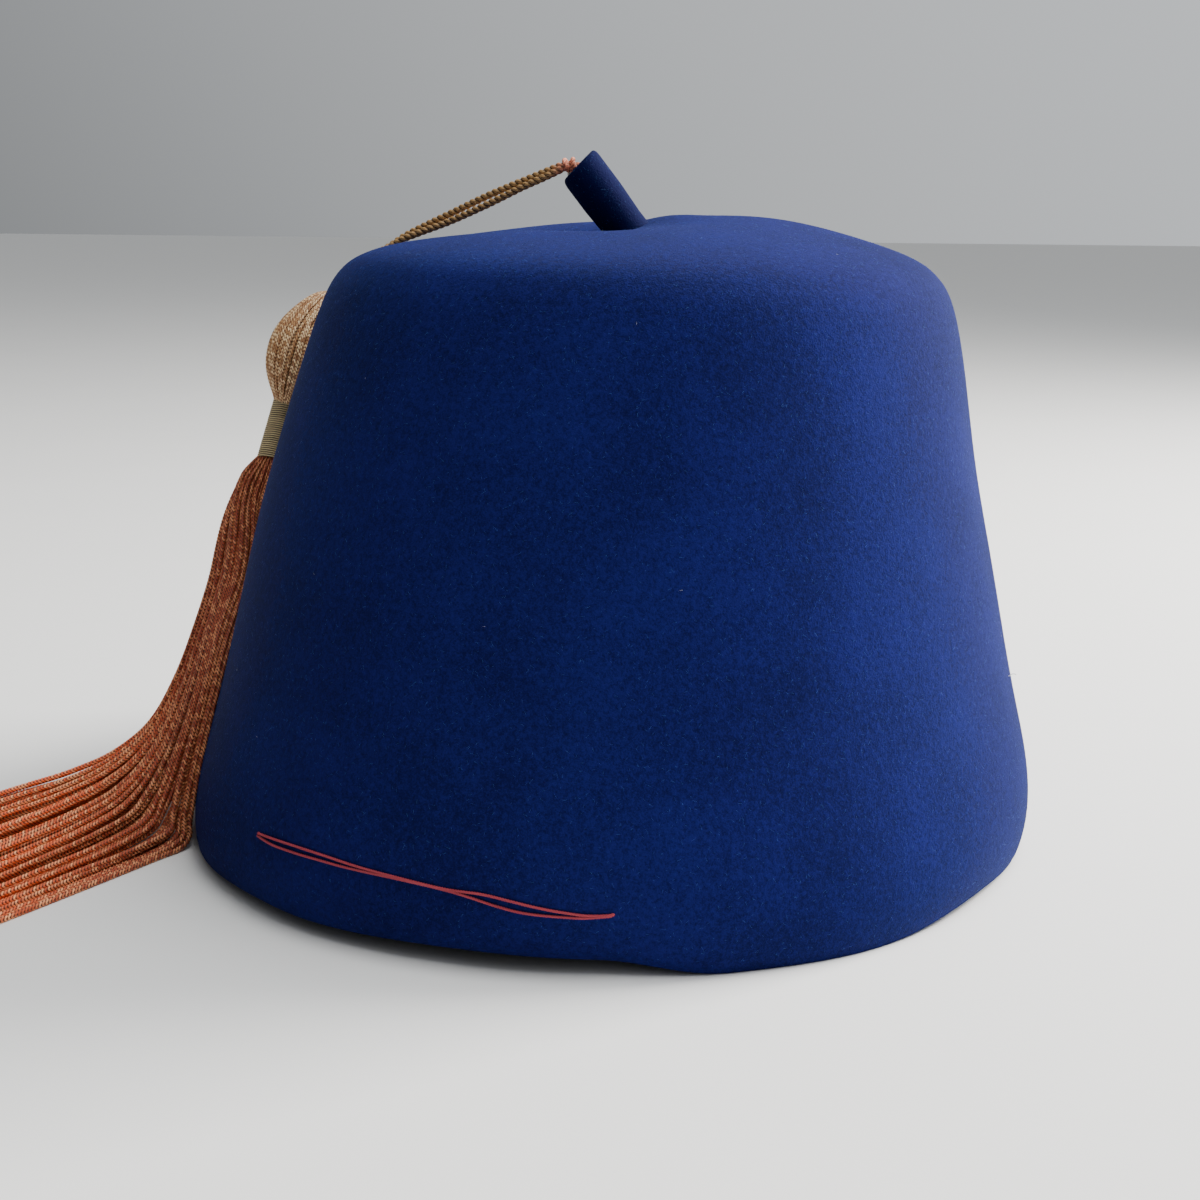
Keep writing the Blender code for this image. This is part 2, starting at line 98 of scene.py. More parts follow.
# Soft dents, and swellings where the depth is negative, as shares.
DENTS = (
    # right, back, up, spread, depth
    (-0.26, 0.04, 0.98, 0.25, 1.00), (-0.05, -0.01, 0.99, 0.15, 1.15),
    (-0.04, -0.30, 1.00, 0.34, 0.65), (0.12, 0.02, 1.00, 0.15, -0.65),
    (0.38, 0.15, 0.99, 0.36, -0.80), (0.86, -0.20, 0.62, 0.30, 0.35),
    (-0.30, -0.82, 0.45, 0.45, 0.30), (-1.00, -0.22, 0.15, 0.30, 0.40),
)

# Outer form of the bulb, as shares of its length and radius.
BULB_PROFILE = (
    # along, radius
    (0.000, 0.290), (0.040, 0.470), (0.120, 0.660), (0.270, 0.860), (0.420, 0.970), (0.550, 1.000),
    (0.690, 0.940), (0.820, 0.760), (0.920, 0.540),
)

# Front edge, middle and back edge of the skirt, as shares of the crown's sizes.
SKIRT_FRONT = (
    # right, back, up
    (-0.859, 0.203, 0.562), (-0.875, 0.146, 0.489), (-0.909, 0.052, 0.387), (-0.930, -0.130, 0.277),
    (-0.940, -0.220, 0.175), (-0.950, -0.272, 0.088), (-0.955, -0.305, 0.030),
    (-1.005, -0.372, 0.015), (-1.122, -0.545, 0.014), (-1.235, -0.718, 0.014),
    (-1.350, -0.900, 0.014),
)
SKIRT_MIDDLE = (
    # right, back, up
    (-0.882, 0.225, 0.566), (-0.926, 0.185, 0.489), (-0.958, 0.125, 0.395), (-0.998, 0.060, 0.285),
    (-1.045, -0.005, 0.180), (-1.100, -0.080, 0.100), (-1.165, -0.170, 0.055),
    (-1.250, -0.290, 0.036), (-1.345, -0.430, 0.028), (-1.450, -0.595, 0.024),
    (-1.560, -0.770, 0.022),
)
SKIRT_BACK = (
    # right, back, up
    (-0.914, 0.247, 0.570), (-0.956, 0.235, 0.489), (-0.992, 0.215, 0.400), (-1.038, 0.205, 0.300),
    (-1.092, 0.190, 0.200), (-1.160, 0.160, 0.118), (-1.240, 0.110, 0.076), (-1.335, 0.040, 0.058),
    (-1.450, -0.060, 0.052), (-1.560, -0.205, 0.050), (-1.670, -0.385, 0.048),
)

# Routes of the two cords, in millimetres, from the stem's bore to the top of the bulb.
# Their last points lie a little behind the solid cords', so that the crown hides them.
CORD_UPPER = (
    # right, back, up
    (-5.9, 0.95, 148.9), (-7.4, 0.95, 150.0), (-8.5, 0.97, 150.5), (-9.6, 1.1, 150.65),
    (-10.7, 1.4, 150.5), (-12.2, 2.0, 150.1), (-14.0, 2.8, 149.45), (-16.6, 4.0, 148.4),
    (-19.8, 5.4, 147.15), (-24.0, 7.2, 145.5), (-28.6, 9.1, 143.6), (-37.5, 13.2, 139.5),
    (-43.8, 15.9, 136.6), (-48.4, 17.7, 134.3), (-52.2, 19.4, 131.9), (-55.8, 21.2, 129.9),
    (-60.2, 23.6, 126.9), (-63.8, 25.7, 124.2), (-65.6, 26.8, 122.8), (-66.6, 27.3, 121.6),
    (-67.3, 27.4, 120.4),
)
CORD_LOWER = (
    # right, back, up
    (-5.8, -0.95, 148.7), (-7.3, -0.95, 149.65), (-8.3, -0.93, 150.1), (-9.4, -0.85, 150.25),
    (-10.5, -0.6, 150.0), (-12.0, 0.0, 149.3), (-13.9, 1.0, 148.4), (-16.6, 2.4, 147.2),
    (-19.9, 4.1, 145.8), (-24.1, 6.1, 143.8), (-28.7, 8.1, 141.6), (-37.7, 11.7, 137.7),
    (-44.3, 14.0, 135.3), (-48.7, 15.7, 133.6), (-51.8, 17.5, 131.9), (-55.6, 19.6, 129.8),
    (-60.0, 22.0, 126.6), (-63.5, 24.1, 124.1), (-65.4, 25.2, 122.7), (-66.4, 25.9, 121.6),
    (-67.3, 26.3, 120.5),
)

# The two runs of the tacking thread over the front of the crown.
THREAD_UPPER = (
    # angle in degrees, height in millimetres
    (-138.6, 16.9), (-134.6, 17.3), (-130.8, 17.6), (-124.9, 17.6), (-120.6, 17.2), (-114.2, 16.6),
    (-108.3, 15.9), (-104.0, 15.8), (-100.9, 15.1), (-97.8, 14.2), (-94.9, 13.5), (-91.6, 13.0),
    (-88.2, 13.4),
)
THREAD_LOWER = (
    # angle in degrees, height in millimetres
    (-138.6, 16.7), (-135.1, 16.2), (-130.7, 16.3), (-126.1, 16.5), (-121.8, 16.5), (-114.2, 16.4),
    (-108.3, 15.7), (-105.6, 15.0), (-102.5, 13.9), (-99.4, 13.0), (-94.8, 12.6), (-91.8, 12.6),
    (-88.2, 13.3),
)


def basis(row, degree, place, knots):
    """Weight of one control row of a B-spline at a place along it."""
    if degree == 0:
        return 1.0 if knots[row] <= place < knots[row + 1] else 0.0
    weight = 0.0
    before = knots[row + degree] - knots[row]
    after = knots[row + degree + 1] - knots[row + 1]
    if before > 0:
        weight += (place - knots[row]) / before * basis(row, degree - 1, place, knots)
    if after > 0:
        weight += (knots[row + degree + 1] - place) / after * basis(row + 1, degree - 1, place, knots)
    return weight


def spline_through_table(table, count):
    """Rows read at even steps from a clamped cubic B-spline over the table's rows."""
    rows = np.array(table, float)
    last = len(rows)
    knots = [0.0] * 3 + list(np.linspace(0.0, 1.0, last - 2)) + [1.0] * 3
    places = np.clip(np.linspace(0.0, 1.0, count), 0.0, 1.0 - 1e-9)
    weights = np.array([[basis(i, 3, p, knots) for i in range(last)] for p in places])
    return weights @ rows


def between(low, high, place, start, end):
    """The value at a place on the line from low at start to high at end."""
    return low + (high - low) * ((place - start) / (end - start))


def smooth_route(points, per_span=12):
    """A centripetal Catmull-Rom curve through the points, as a dense line."""
    p = np.array(points, float)
    p = np.vstack([2 * p[0] - p[1], p, 2 * p[-1] - p[-2]])
    line = []
    for i in range(1, len(p) - 2):
        near = p[i - 1:i + 3]
        steps = np.linalg.norm(np.diff(near, axis=0), axis=1) ** 0.5
        k = np.concatenate([[0.0], np.cumsum(steps)])
        for t in np.linspace(k[1], k[2], per_span, endpoint=False):
            a = [between(near[j], near[j + 1], t, k[j], k[j + 1]) for j in range(3)]
            b = [between(a[j], a[j + 1], t, k[j], k[j + 2]) for j in range(2)]
            line.append(between(b[0], b[1], t, k[1], k[2]))
    line.append(p[-2])
    return np.array(line)


def even_points(line, count, length=None):
    """Points at even distances along a line, which runs straight on where it is too short."""
    steps = np.linalg.norm(np.diff(line, axis=0), axis=1)
    along = np.concatenate([[0.0], np.cumsum(steps)])
    total = along[-1] if length is None else length
    if total > along[-1]:
        onward = line[-1] - line[-2]
        more = (total - along[-1]) / np.linalg.norm(onward)
        line = np.vstack([line, line[-1] + onward * more])
        along = np.append(along, total)
    places = np.linspace(0.0, total, count)
    return np.stack([np.interp(places, along, line[:, k]) for k in range(3)], axis=1)


def crown_profile(count):
    """Radius, lean and height of the crown's outside, in metres."""
    return spline_through_table(CROWN_PROFILE, count) * CROWN_SIZE


def crown_side(count):
    """The rows of the crown's profile from the rim up to its highest place."""
    profile = crown_profile(count)
    return profile[: int(np.argmax(profile[:, 2])) + 1]


def rim_wave(angles):
    """Lift and inset of the rim at each angle in radians, in metres."""
    degrees = np.degrees(angles) % 360.0
    table = np.array(list(RIM) + [(360.0, RIM[0][1], RIM[0][2])])
    row = np.clip(np.searchsorted(table[:, 0], degrees, side="right") - 1, 0, len(table) - 2)
    share = (degrees - table[row, 0]) / (table[row + 1, 0] - table[row, 0])
    ease = 0.5 - 0.5 * np.cos(math.pi * share)
    wave = table[row, 1:] + (table[row + 1, 1:] - table[row, 1:]) * ease[:, None]
    return RIM_WAVE * wave[:, 0], RIM_INSET * wave[:, 1]


def rim_fade(height):
    """Share of the rim's wave that is left at a height."""
    return np.maximum(0.0, 1.0 - height / (0.5 * CROWN_HEIGHT)) ** 2


def outward_normals(grid):
    """Unit normals of a grid of rings, whose last ring is nearly a point."""
    around = np.roll(grid, -1, axis=1) - np.roll(grid, 1, axis=1)
    up = np.gradient(grid, axis=0)
    normals = np.cross(around, up)
    return normals / np.linalg.norm(normals, axis=2, keepdims=True)


def dent_depths(points):
    """For each dent in turn, how far it pushes in at each point, below zero for a swelling."""
    for right, back, up, spread, depth in DENTS:
        off = points - np.array([right, back, up]) * CROWN_SIZE
        yield depth * DENT_DEPTH * np.exp(-2.0 * (off ** 2).sum(axis=-1) / (spread * BASE_RADIUS) ** 2)


def press_dents(grid):
    """Push the grid in at each dent, and out at each swelling."""
    normals = outward_normals(grid)
    pushed = grid.copy()
    for depth in dent_depths(grid):
        pushed -= normals * depth[..., None]
    return pushed


def crown_grid(rows, sides):
    """Rings of the crown's outside, from the rim to a tiny ring at the centre."""
    profile = crown_profile(rows + 1)
    profile[-1, 0] = 0.02 * STEM_RADIUS
    angles = np.linspace(0.0, 2 * math.pi, sides, endpoint=False)
    lift, inset = rim_wave(angles)
    fade = rim_fade(profile[:, 2])[:, None]
    waved = profile[:, :1] - fade * inset[None, :]
    x = profile[:, 1:2] + waved * np.cos(angles)[None, :]
    y = waved * np.sin(angles)[None, :]
    z = profile[:, 2:3] + fade * lift[None, :]
    return press_dents(np.stack([x, y, z], axis=2))


def bridge_rings(rings):
    """Join rings of points into a tube with a fan over each end, as a bmesh."""
    shape = bmesh.new()
    verts = [[shape.verts.new(p) for p in ring] for ring in rings]
    for low, high in zip(verts, verts[1:]):
        for i in range(len(low)):
            j = (i + 1) % len(low)
            shape.faces.new((low[i], low[j], high[j], high[i]))
    for ring in (verts[0], verts[-1]):
        centre = shape.verts.new(sum((v.co for v in ring), Vector()) / len(ring))
        for i in range(len(ring)):
            shape.faces.new((ring[i], ring[(i + 1) % len(ring)], centre))
    return shape


def finished_mesh(name, shape, shader):
    """Turn a bmesh into a piece that rides on the root body."""
    bmesh.ops.recalc_face_normals(shape, faces=shape.faces)
    mesh = bpy.data.meshes.new(name)
    shape.to_mesh(mesh)
    shape.free()
    mesh.shade_smooth()
    return finished_piece(name, mesh, shader)


def finished_piece(name, mesh, shader):
    """Link a mesh as a piece with its material and body."""
    if not mesh.polygons:
        raise RuntimeError(name + " came out without faces")
    mesh.name = name
    made = bpy.data.objects.new(name, mesh)
    mesh.materials.clear()
    mesh.materials.append(shader)
    bpy.context.scene.collection.objects.link(made)
    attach(made, "root")
    return made


class Tie:
    """An output socket that takes part in Python arithmetic by adding Math nodes."""

    def __init__(self, tree, socket):
        self.tree = tree
        self.socket = socket

def arithmetic(operation, swapped):
    """A method that adds one Math node, for a Python operator of Tie."""
    if swapped:
        return lambda tie, other: tie.tree.maths(operation, other, tie)
    return lambda tie, other: tie.tree.maths(operation, tie, other)


for symbol, operation in (
    ("add", "ADD"), ("sub", "SUBTRACT"), ("mul", "MULTIPLY"),
    ("truediv", "DIVIDE"), ("mod", "FLOORED_MODULO"),
):
    setattr(Tie, "__" + symbol + "__", arithmetic(operation, False))
    setattr(Tie, "__r" + symbol + "__", arithmetic(operation, True))


class Tree:
    """A node tree, with a method for each kind of node that is used often."""

    def __init__(self, nodes):
        self.nodes = nodes

    def node(self, kind, settings=None, values=None, out=0):
        """Add a node, set it up, fill its sockets and return one of its outputs."""
        made = self.nodes.nodes.new(kind)
        for name, value in (settings or {}).items():
            setattr(made, name, value)
        self.fill(made, values or {})
        return Tie(self, made.outputs[out])

    def fill(self, made, values):
        """Fill a node's sockets with numbers, colours and links."""
        for key, value in values.items():
            if isinstance(value, Tie):
                self.nodes.links.new(value.socket, made.inputs[key])
            else:
                made.inputs[key].default_value = value

    def maths(self, operation, *values):
        """One Math node over numbers and sockets."""
        return self.node("ShaderNodeMath", {"operation": operation}, dict(enumerate(values)))

    def vector(self, operation, *values, out=0):
        """One Vector Math node."""
        return self.node("ShaderNodeVectorMath", {"operation": operation}, dict(enumerate(values)), out)

    def scaled(self, vector, factor):
        """A vector times a number."""
        return self.node("ShaderNodeVectorMath", {"operation": "SCALE"}, {0: vector, 3: factor})

    def other_output(self, tie, out):
        """Another output of the node that a socket belongs to."""
        return Tie(self, tie.socket.node.outputs[out])


# Materials


class Shader(Tree):
    """The node tree of a material, with the nodes that the hat's finishes share."""

    def __init__(self, name):
        self.made = bpy.data.materials.new(name)
        self.made.use_nodes = True
        super().__init__(self.made.node_tree)
        self.place = self.node("ShaderNodeTexCoord", out="Object")

    def noise(self, scale, detail, rough=0.6):
        """Noise over the piece's own coordinates, as a value from 0 to 1."""
        values = {"Vector": self.place, "Scale": scale, "Detail": detail, "Roughness": rough}
        return self.node("ShaderNodeTexNoise", None, values)

    def attribute(self, name):
        """A value stored on the piece's points."""
        return self.node("ShaderNodeAttribute", {"attribute_name": name}, out="Fac")

    def blend(self, share, first, second, mode="MIX"):
        """Mix two colours, each a socket or three numbers."""
        first, second = (c if isinstance(c, Tie) else (*c, 1.0) for c in (first, second))
        settings = {"data_type": "RGBA", "blend_type": mode}
        return self.node("ShaderNodeMix", settings, {0: share, 6: first, 7: second}, 2)

    def step(self, value, low, high):
        """A smooth step from 0 at low to 1 at high."""
        settings = {"interpolation_type": "SMOOTHSTEP"}
        return self.node("ShaderNodeMapRange", settings, {0: value, 1: low, 2: high, 3: 0.0, 4: 1.0})

    def bump(self, height, distance, strength=1.0, normal=None):
        """A bump from a height between 0 and 1."""
        values = {"Strength": strength, "Distance": distance, "Height": height}
        if normal is not None:
            values["Normal"] = normal
        return self.node("ShaderNodeBump", None, values)

    def finish(self, values):
        """Fill the Principled sockets with numbers, colours and links."""
        self.fill(self.nodes.nodes["Principled BSDF"], values)
        return self.made


# Where the painted shade of the hat over the strands gives way to the painted lit colour of their ends, and
# where that colour is full, in metres to the left.
LIT_ENDS_FROM, LIT_ENDS_FULL = 0.096, 0.136
# Where the cords turn to the knot's colour and have it in full, in metres to the right.
SALMON_FROM, SALMON_FULL = -0.0135, -0.0085
GLINT_COLOUR = (1.0, 0.78, 0.48)


def felt_material(name, deep, light, tint):
    """Soft wool felt: mottled colour, a fibrous bump and a pale nap at grazing angles."""
    shader = Shader(name)
    clouds = shader.noise(40.0, 3.0, 0.55)
    mottle = shader.noise(900.0, 4.0, 0.70)
    fibres = shader.noise(2600.0, 3.0, 0.75)
    speck = shader.noise(3100.0, 2.0, 0.5)
    tone = 0.22 * clouds + 0.40 * mottle + 0.45 * fibres
    base = shader.blend(shader.step(tone, 0.38, 0.70), deep, light)
    pale = shader.step(speck, 0.72, 0.82) * 0.25
    base = shader.blend(pale, base, tint)
    lumps = shader.bump(mottle, 0.00022, 0.55)
    coarse = shader.bump(fibres, 0.00016, 0.70, lumps)
    return shader.finish({
        "Base Color": base,
        "Roughness": 0.95 - 0.08 * mottle,
        "Normal": coarse,
        "Specular IOR Level": 0.10,
        "Sheen Weight": 0.06,
        "Sheen Roughness": 0.45,
        "Sheen Tint": (*tint, 1.0),
    })


def knitted_material(name, gap, yarn, gold_and_highlight, shine, ends=None):
    """Knitted strand: painted shade in the gaps, golden stitches with a painted highlight on their crests,
    and painted shade of the hat on the strands near the hat, which gives way to a lit colour towards the
    ends.
    """
    shader = Shader(name)
    relief = shader.attribute("relief")
    stitch = shader.attribute("stitch")
    strand = shader.attribute("strand")
    clouds = shader.noise(90.0, 2.0)
    fibres = shader.noise(4200.0, 2.0)
    # Painted shade: where the relief is low, in the grooves between the stitches, the strand takes the gap
    # colour.
    lift = shader.step(relief, 0.22, 0.74)
    shade_mixed_yarn = yarn
    highlight_shade = 1.0
    # Painted shade of the hat: close to the hat the strands keep the darker yarn colour, further out they
    # take the lit colour of the ends, and their highlights are dimmed in that shade.
    if ends is not None:
        left = -1.0 * shader.node("ShaderNodeSeparateXYZ", None, {0: shader.place})
        near = shader.step(left, LIT_ENDS_FROM, LIT_ENDS_FULL)
        shade_mixed_yarn = shader.blend(near, yarn, ends)
        highlight_shade = 0.60 + 0.40 * near
    warm = shader.blend(0.34 * strand + 0.20 * clouds - 0.08, shade_mixed_yarn, gap)
    # Golden stitches at random, partly the yarn's own colour and partly a painted highlight, which only
    # shows on the raised crests.
    gold_and_highlight_share = shader.step(stitch + 0.25 * strand + 0.20 * clouds, 0.42, 1.20) * lift * highlight_shade
    top = shader.blend(gold_and_highlight_share, warm, gold_and_highlight)
    base = shader.blend(lift, gap, top)
    return shader.finish({
        "Base Color": base,
        "Roughness": 0.52 + 0.25 * fibres - 0.12 * gold_and_highlight_share,
        "Normal": shader.bump(fibres, 0.00008, 0.6),
        "Specular IOR Level": shine,
        "Sheen Weight": 0.05,
        "Sheen Tint": (*gold_and_highlight, 1.0),
    })


def twisted_material(name, ply_shade, light, shine, edge=(0.05, 0.75), warm_end=None):
    """Twisted yarn: fine fibres along the ply with painted glints, and painted shade where the plies meet.
    """
    shader = Shader(name)
    turn = shader.node("ShaderNodeMath", {"operation": "ARCTAN2"}, {
        0: shader.attribute("ply_sine"),
        1: shader.attribute("ply_cosine"),
    })
    along = shader.attribute("along")
    fibres = 0.5 + 0.5 * shader.maths("SINE", 7.0 * turn + 5200.0 * along)
    grain = shader.noise(3600.0, 2.0)
    # Painted shade: the side of each ply that faces inward, where the plies meet, takes the shade colour.
    inner = shader.step(shader.attribute("relief"), *edge)
    glint = shader.step(fibres * 0.6 + grain * 0.5, 0.55, 0.95) * inner
    base = shader.blend(glint * 0.8, shader.blend(inner, ply_shade, light), GLINT_COLOUR, "SOFT_LIGHT")
    if warm_end is not None:
        right = shader.node("ShaderNodeSeparateXYZ", None, {0: shader.place})
        near = shader.step(right + 0.003 * grain, SALMON_FROM, SALMON_FULL)
        base = shader.blend(near * inner, base, warm_end)
    return shader.finish({
        "Base Color": base,
        "Roughness": 0.62 - 0.18 * glint,
        "Normal": shader.bump(fibres * 0.6 + grain * 0.4, 0.00008, 0.8),
        "Specular IOR Level": shine,
        "Sheen Weight": 0.2,
        "Sheen Tint": (*light, 1.0),
    })


def plain_material(name, low, high, roughness, scale, depth):
    """A quiet finish with a little tone and grain."""
    shader = Shader(name)
    tone = shader.noise(scale, 4.0)
    return shader.finish({
        "Base Color": shader.blend(tone, low, high),
        "Roughness": roughness + 0.12 * tone,
        "Normal": shader.bump(tone, depth, 0.4),
    })


# Node groups that lay yarn and fibres


class Maker(Tree):
    """A Geometry Nodes tree with named inputs."""

    def __init__(self, name, inputs):
        tree = bpy.data.node_groups.new(name, "GeometryNodeTree")
        super().__init__(tree)
        tree.interface.new_socket("Geometry", in_out="INPUT", socket_type="NodeSocketGeometry")
        self.keys = {}
        for label, kind, value in inputs + (("Material", "Material", None),):
            socket = tree.interface.new_socket(label, in_out="INPUT", socket_type="NodeSocket" + kind)
            if value is not None:
                socket.default_value = value
            self.keys[label] = socket.identifier
        tree.interface.new_socket("Geometry", in_out="OUTPUT", socket_type="NodeSocketGeometry")
        self.start = tree.nodes.new("NodeGroupInput")
        self.end = tree.nodes.new("NodeGroupOutput")
        self.place = self.node("GeometryNodeInputPosition")

    def input(self, label):
        """The socket of a named input."""
        return Tie(self, self.start.outputs[label])

    def capture(self, geometry, fields):
        """Keep fields on the geometry. Returns the geometry and the kept fields."""
        made = self.nodes.nodes.new("GeometryNodeCaptureAttribute")
        for label, (kind, _) in fields.items():
            made.capture_items.new(kind, label)
        self.nodes.links.new(geometry.socket, made.inputs[0])
        kept = {}
        for i, (label, (_, field)) in enumerate(fields.items()):
            self.nodes.links.new(field.socket, made.inputs[i + 1])
            kept[label] = Tie(self, made.outputs[i + 1])
        return Tie(self, made.outputs[0]), kept

    def keep(self, geometry, **kept):
        """Store values on the points for the material to read."""
        for label, value in kept.items():
            values = {"Geometry": geometry, "Name": label, "Value": value}
            settings = {"data_type": "FLOAT", "domain": "POINT"}
            geometry = self.node("GeometryNodeStoreNamedAttribute", settings, values)
        return geometry

    def drawn_line(self, step):
        """The lines that come in, smoothed, with points at each step."""
        line = self.node("GeometryNodeMeshToCurve", None, {0: self.input("Geometry")})
        line = self.node("GeometryNodeCurveSplineType", {"spline_type": "CATMULL_ROM"}, {0: line})
        return self.node("GeometryNodeResampleCurve", {"mode": "LENGTH"}, {"Curve": line, "Length": step})

    def swept(self, line, radius):
        """Tubes along lines, and the number of the spoke that each of their points is on."""
        values = {"Resolution": self.input("Sides"), "Radius": radius}
        ring = self.node("GeometryNodeCurvePrimitiveCircle", {"mode": "RADIUS"}, values)
        ring, kept = self.capture(ring, {"spoke": ("FLOAT", self.node("GeometryNodeInputIndex"))})
        values = {"Curve": line, "Profile Curve": ring, "Fill Caps": True}
        return self.node("GeometryNodeCurveToMesh", None, values), kept["spoke"]

    def away(self, place, centre):
        """The way from a centre to a place."""
        return self.vector("NORMALIZE", self.vector("SUBTRACT", place, centre))

    def random(self, low, high, identity, seed):
        """A random number for each identity."""
        values = {2: low, 3: high, 7: identity, 8: seed}
        return self.node("FunctionNodeRandomValue", {"data_type": "FLOAT"}, values, 1)

    def close(self, geometry):
        """Realize, give the material and end the tree."""
        real = self.node("GeometryNodeRealizeInstances", None, {0: geometry})
        smooth = self.node("GeometryNodeSetShadeSmooth", None, {0: real})
        values = {"Geometry": smooth, "Material": self.input("Material")}
        dressed = self.node("GeometryNodeSetMaterial", None, values)
        self.nodes.links.new(dressed.socket, self.end.inputs[0])
        return self


def knitted_strand_maker():
    """Turns lines into knitted strands, whose stitches stand as rows of small chevrons."""
    maker = Maker("knitted_strands", (
        ("Stitch Pitch", "Float", 0.00085),
        ("Slant", "Float", 0.0008),
        ("Rings Per Stitch", "Int", 3),
        ("Sides", "Int", 8),
        ("Groove", "Float", 0.20),
        ("Seed", "Int", 7),
    ))
    rings = maker.input("Rings Per Stitch")
    half = maker.node("GeometryNodeInputNamedAttribute", {"data_type": "FLOAT"}, {0: "half_width"})
    line, kept = maker.capture(maker.drawn_line(maker.input("Stitch Pitch") / rings), {
        "centre": ("VECTOR", maker.place),
        "way": ("VECTOR", maker.node("GeometryNodeInputTangent")),
        "ring": ("FLOAT", maker.node("GeometryNodeSplineParameter", out="Index")),
        "strand": ("FLOAT", maker.node("GeometryNodeCurveOfPoint", out="Curve Index")),
        "half": ("FLOAT", half),
    })
    tube, spoke = maker.swept(line, 0.001)
    eighth = spoke * (8.0 / maker.input("Sides"))
    zigzag = maker.maths("ABSOLUTE", eighth % 4.0 - 2.0) * 0.5 - 0.5
    seam = maker.maths("ABSOLUTE", maker.maths("PINGPONG", eighth, 1.0))
    phase = kept["ring"] % rings
    ridge = maker.maths("MINIMUM", phase, 1.0)
    height = 0.35 * seam + 0.65 * ridge
    depth = 1.0 - maker.input("Groove") * (1.0 - height)
    out = maker.away(maker.place, kept["centre"])
    place = maker.vector("ADD", kept["centre"], maker.scaled(out, kept["half"] * depth))
    place = maker.vector("ADD", place, maker.scaled(kept["way"], zigzag * maker.input("Slant")))
    tube = maker.node("GeometryNodeSetPosition", None, {"Geometry": tube, "Position": place})
    row = maker.maths("FLOOR", kept["ring"] / rings)
    column = maker.maths("FLOOR", eighth * 0.5)
    identity = kept["strand"] * 4096.0 + row * 4.0 + column
    seed = maker.input("Seed")
    tube = maker.keep(
        tube, relief=height, stitch=maker.random(0.0, 1.0, identity, seed),
        strand=maker.random(0.0, 1.0, kept["strand"], seed),
    )
    return maker.close(tube)


def twisted_yarn_maker():
    """Turns lines into plies that wind round each line."""
    maker = Maker("twisted_yarn", (
        ("Plies", "Int", 2),
        ("Twist Pitch", "Float", 0.0038),
        ("Offset", "Float", 0.00034),
        ("Half Width", "Float", 0.00042),
        ("Step", "Float", 0.00025),
        ("Sides", "Int", 10),
        ("Tilt", "Float", 0.0),
    ))
    values = {"Geometry": maker.drawn_line(maker.input("Step")), "Amount": maker.input("Plies")}
    copies = maker.node("GeometryNodeDuplicateElements", {"domain": "SPLINE"}, values)
    copy = maker.other_output(copies, 1)
    line, kept = maker.capture(copies, {
        "along": ("FLOAT", maker.node("GeometryNodeSplineParameter", out="Length")),
        "axis": ("VECTOR", maker.place),
    })
    full = 2 * math.pi
    angle = kept["along"] / maker.input("Twist Pitch") * full + copy / maker.input("Plies") * full
    normal = maker.node("GeometryNodeInputNormal")
    way = maker.node("GeometryNodeInputTangent")
    side = maker.vector("CROSS_PRODUCT", way, normal)
    reach = maker.input("Offset")
    across = maker.maths("COSINE", angle) * reach
    shift = maker.vector(
        "ADD", maker.scaled(normal, across), maker.scaled(side, maker.maths("SINE", angle) * reach),
    )
    shift = maker.vector("ADD", shift, maker.scaled(way, across * maker.input("Tilt")))
    line = maker.node("GeometryNodeSetPosition", None, {"Geometry": line, "Offset": shift})
    line, ply = maker.capture(line, {"centre": ("VECTOR", maker.place)})
    tube, spoke = maker.swept(line, maker.input("Half Width"))
    turn = spoke / maker.input("Sides") * full
    outward = maker.away(ply["centre"], kept["axis"])
    facing = maker.vector("DOT_PRODUCT", maker.away(maker.place, ply["centre"]), outward, out=1)
    tube = maker.keep(
        tube, relief=0.5 + 0.5 * facing, along=kept["along"],
        ply_sine=maker.maths("SINE", turn), ply_cosine=maker.maths("COSINE", turn),
    )
    return maker.close(tube)


def fibre_maker():
    """Scatters short fibres over a surface, lying mostly along it."""
    maker = Maker("scattered_fibres", (
        ("Count Per Area", "Float", 300000.0),
        ("Length", "Float", 0.0011),
        ("Half Width", "Float", 0.000018),
        ("Stand", "Float", 0.35),
        ("Seed", "Int", 11),
    ))
    seed = maker.input("Seed")
    spots = maker.node("GeometryNodeDistributePointsOnFaces", {"distribute_method": "RANDOM"}, {
        "Mesh": maker.input("Geometry"),
        "Density": maker.input("Count Per Area"),
        "Seed": seed,
    })
    normal = maker.other_output(spots, "Normal")
    which = maker.node("GeometryNodeInputIndex")
    swing = maker.node("FunctionNodeRandomValue", {"data_type": "FLOAT_VECTOR"}, {
        0: (-1.0, -1.0, -1.0),
        1: (1.0, 1.0, 1.0),
        7: which,
        8: seed,
    }, 0)
    upright = maker.scaled(normal, maker.vector("DOT_PRODUCT", swing, normal, out=1))
    flat = maker.vector("SUBTRACT", swing, upright)
    rise = maker.random(0.0, 1.0, which, seed + 3.0) * maker.input("Stand")
    aim = maker.vector("ADD", maker.vector("NORMALIZE", flat), maker.scaled(normal, rise))
    turn = maker.node("FunctionNodeAlignRotationToVector", {"axis": "Z"}, {"Vector": aim})
    blade = maker.node("GeometryNodeMeshCone", {"fill_type": "NONE"}, {
        "Vertices": 3,
        "Side Segments": 2,
        "Radius Top": 0.0,
        "Radius Bottom": maker.input("Half Width"),
        "Depth": maker.input("Length"),
    })
    size = maker.random(0.5, 1.3, which, seed + 5.0)
    placed = maker.node("GeometryNodeInstanceOnPoints", None, {
        "Points": spots,
        "Instance": blade,
        "Rotation": turn,
        "Scale": maker.node("ShaderNodeCombineXYZ", None, {0: 1.0, 1: 1.0, 2: size}),
    })
    return maker.close(placed)


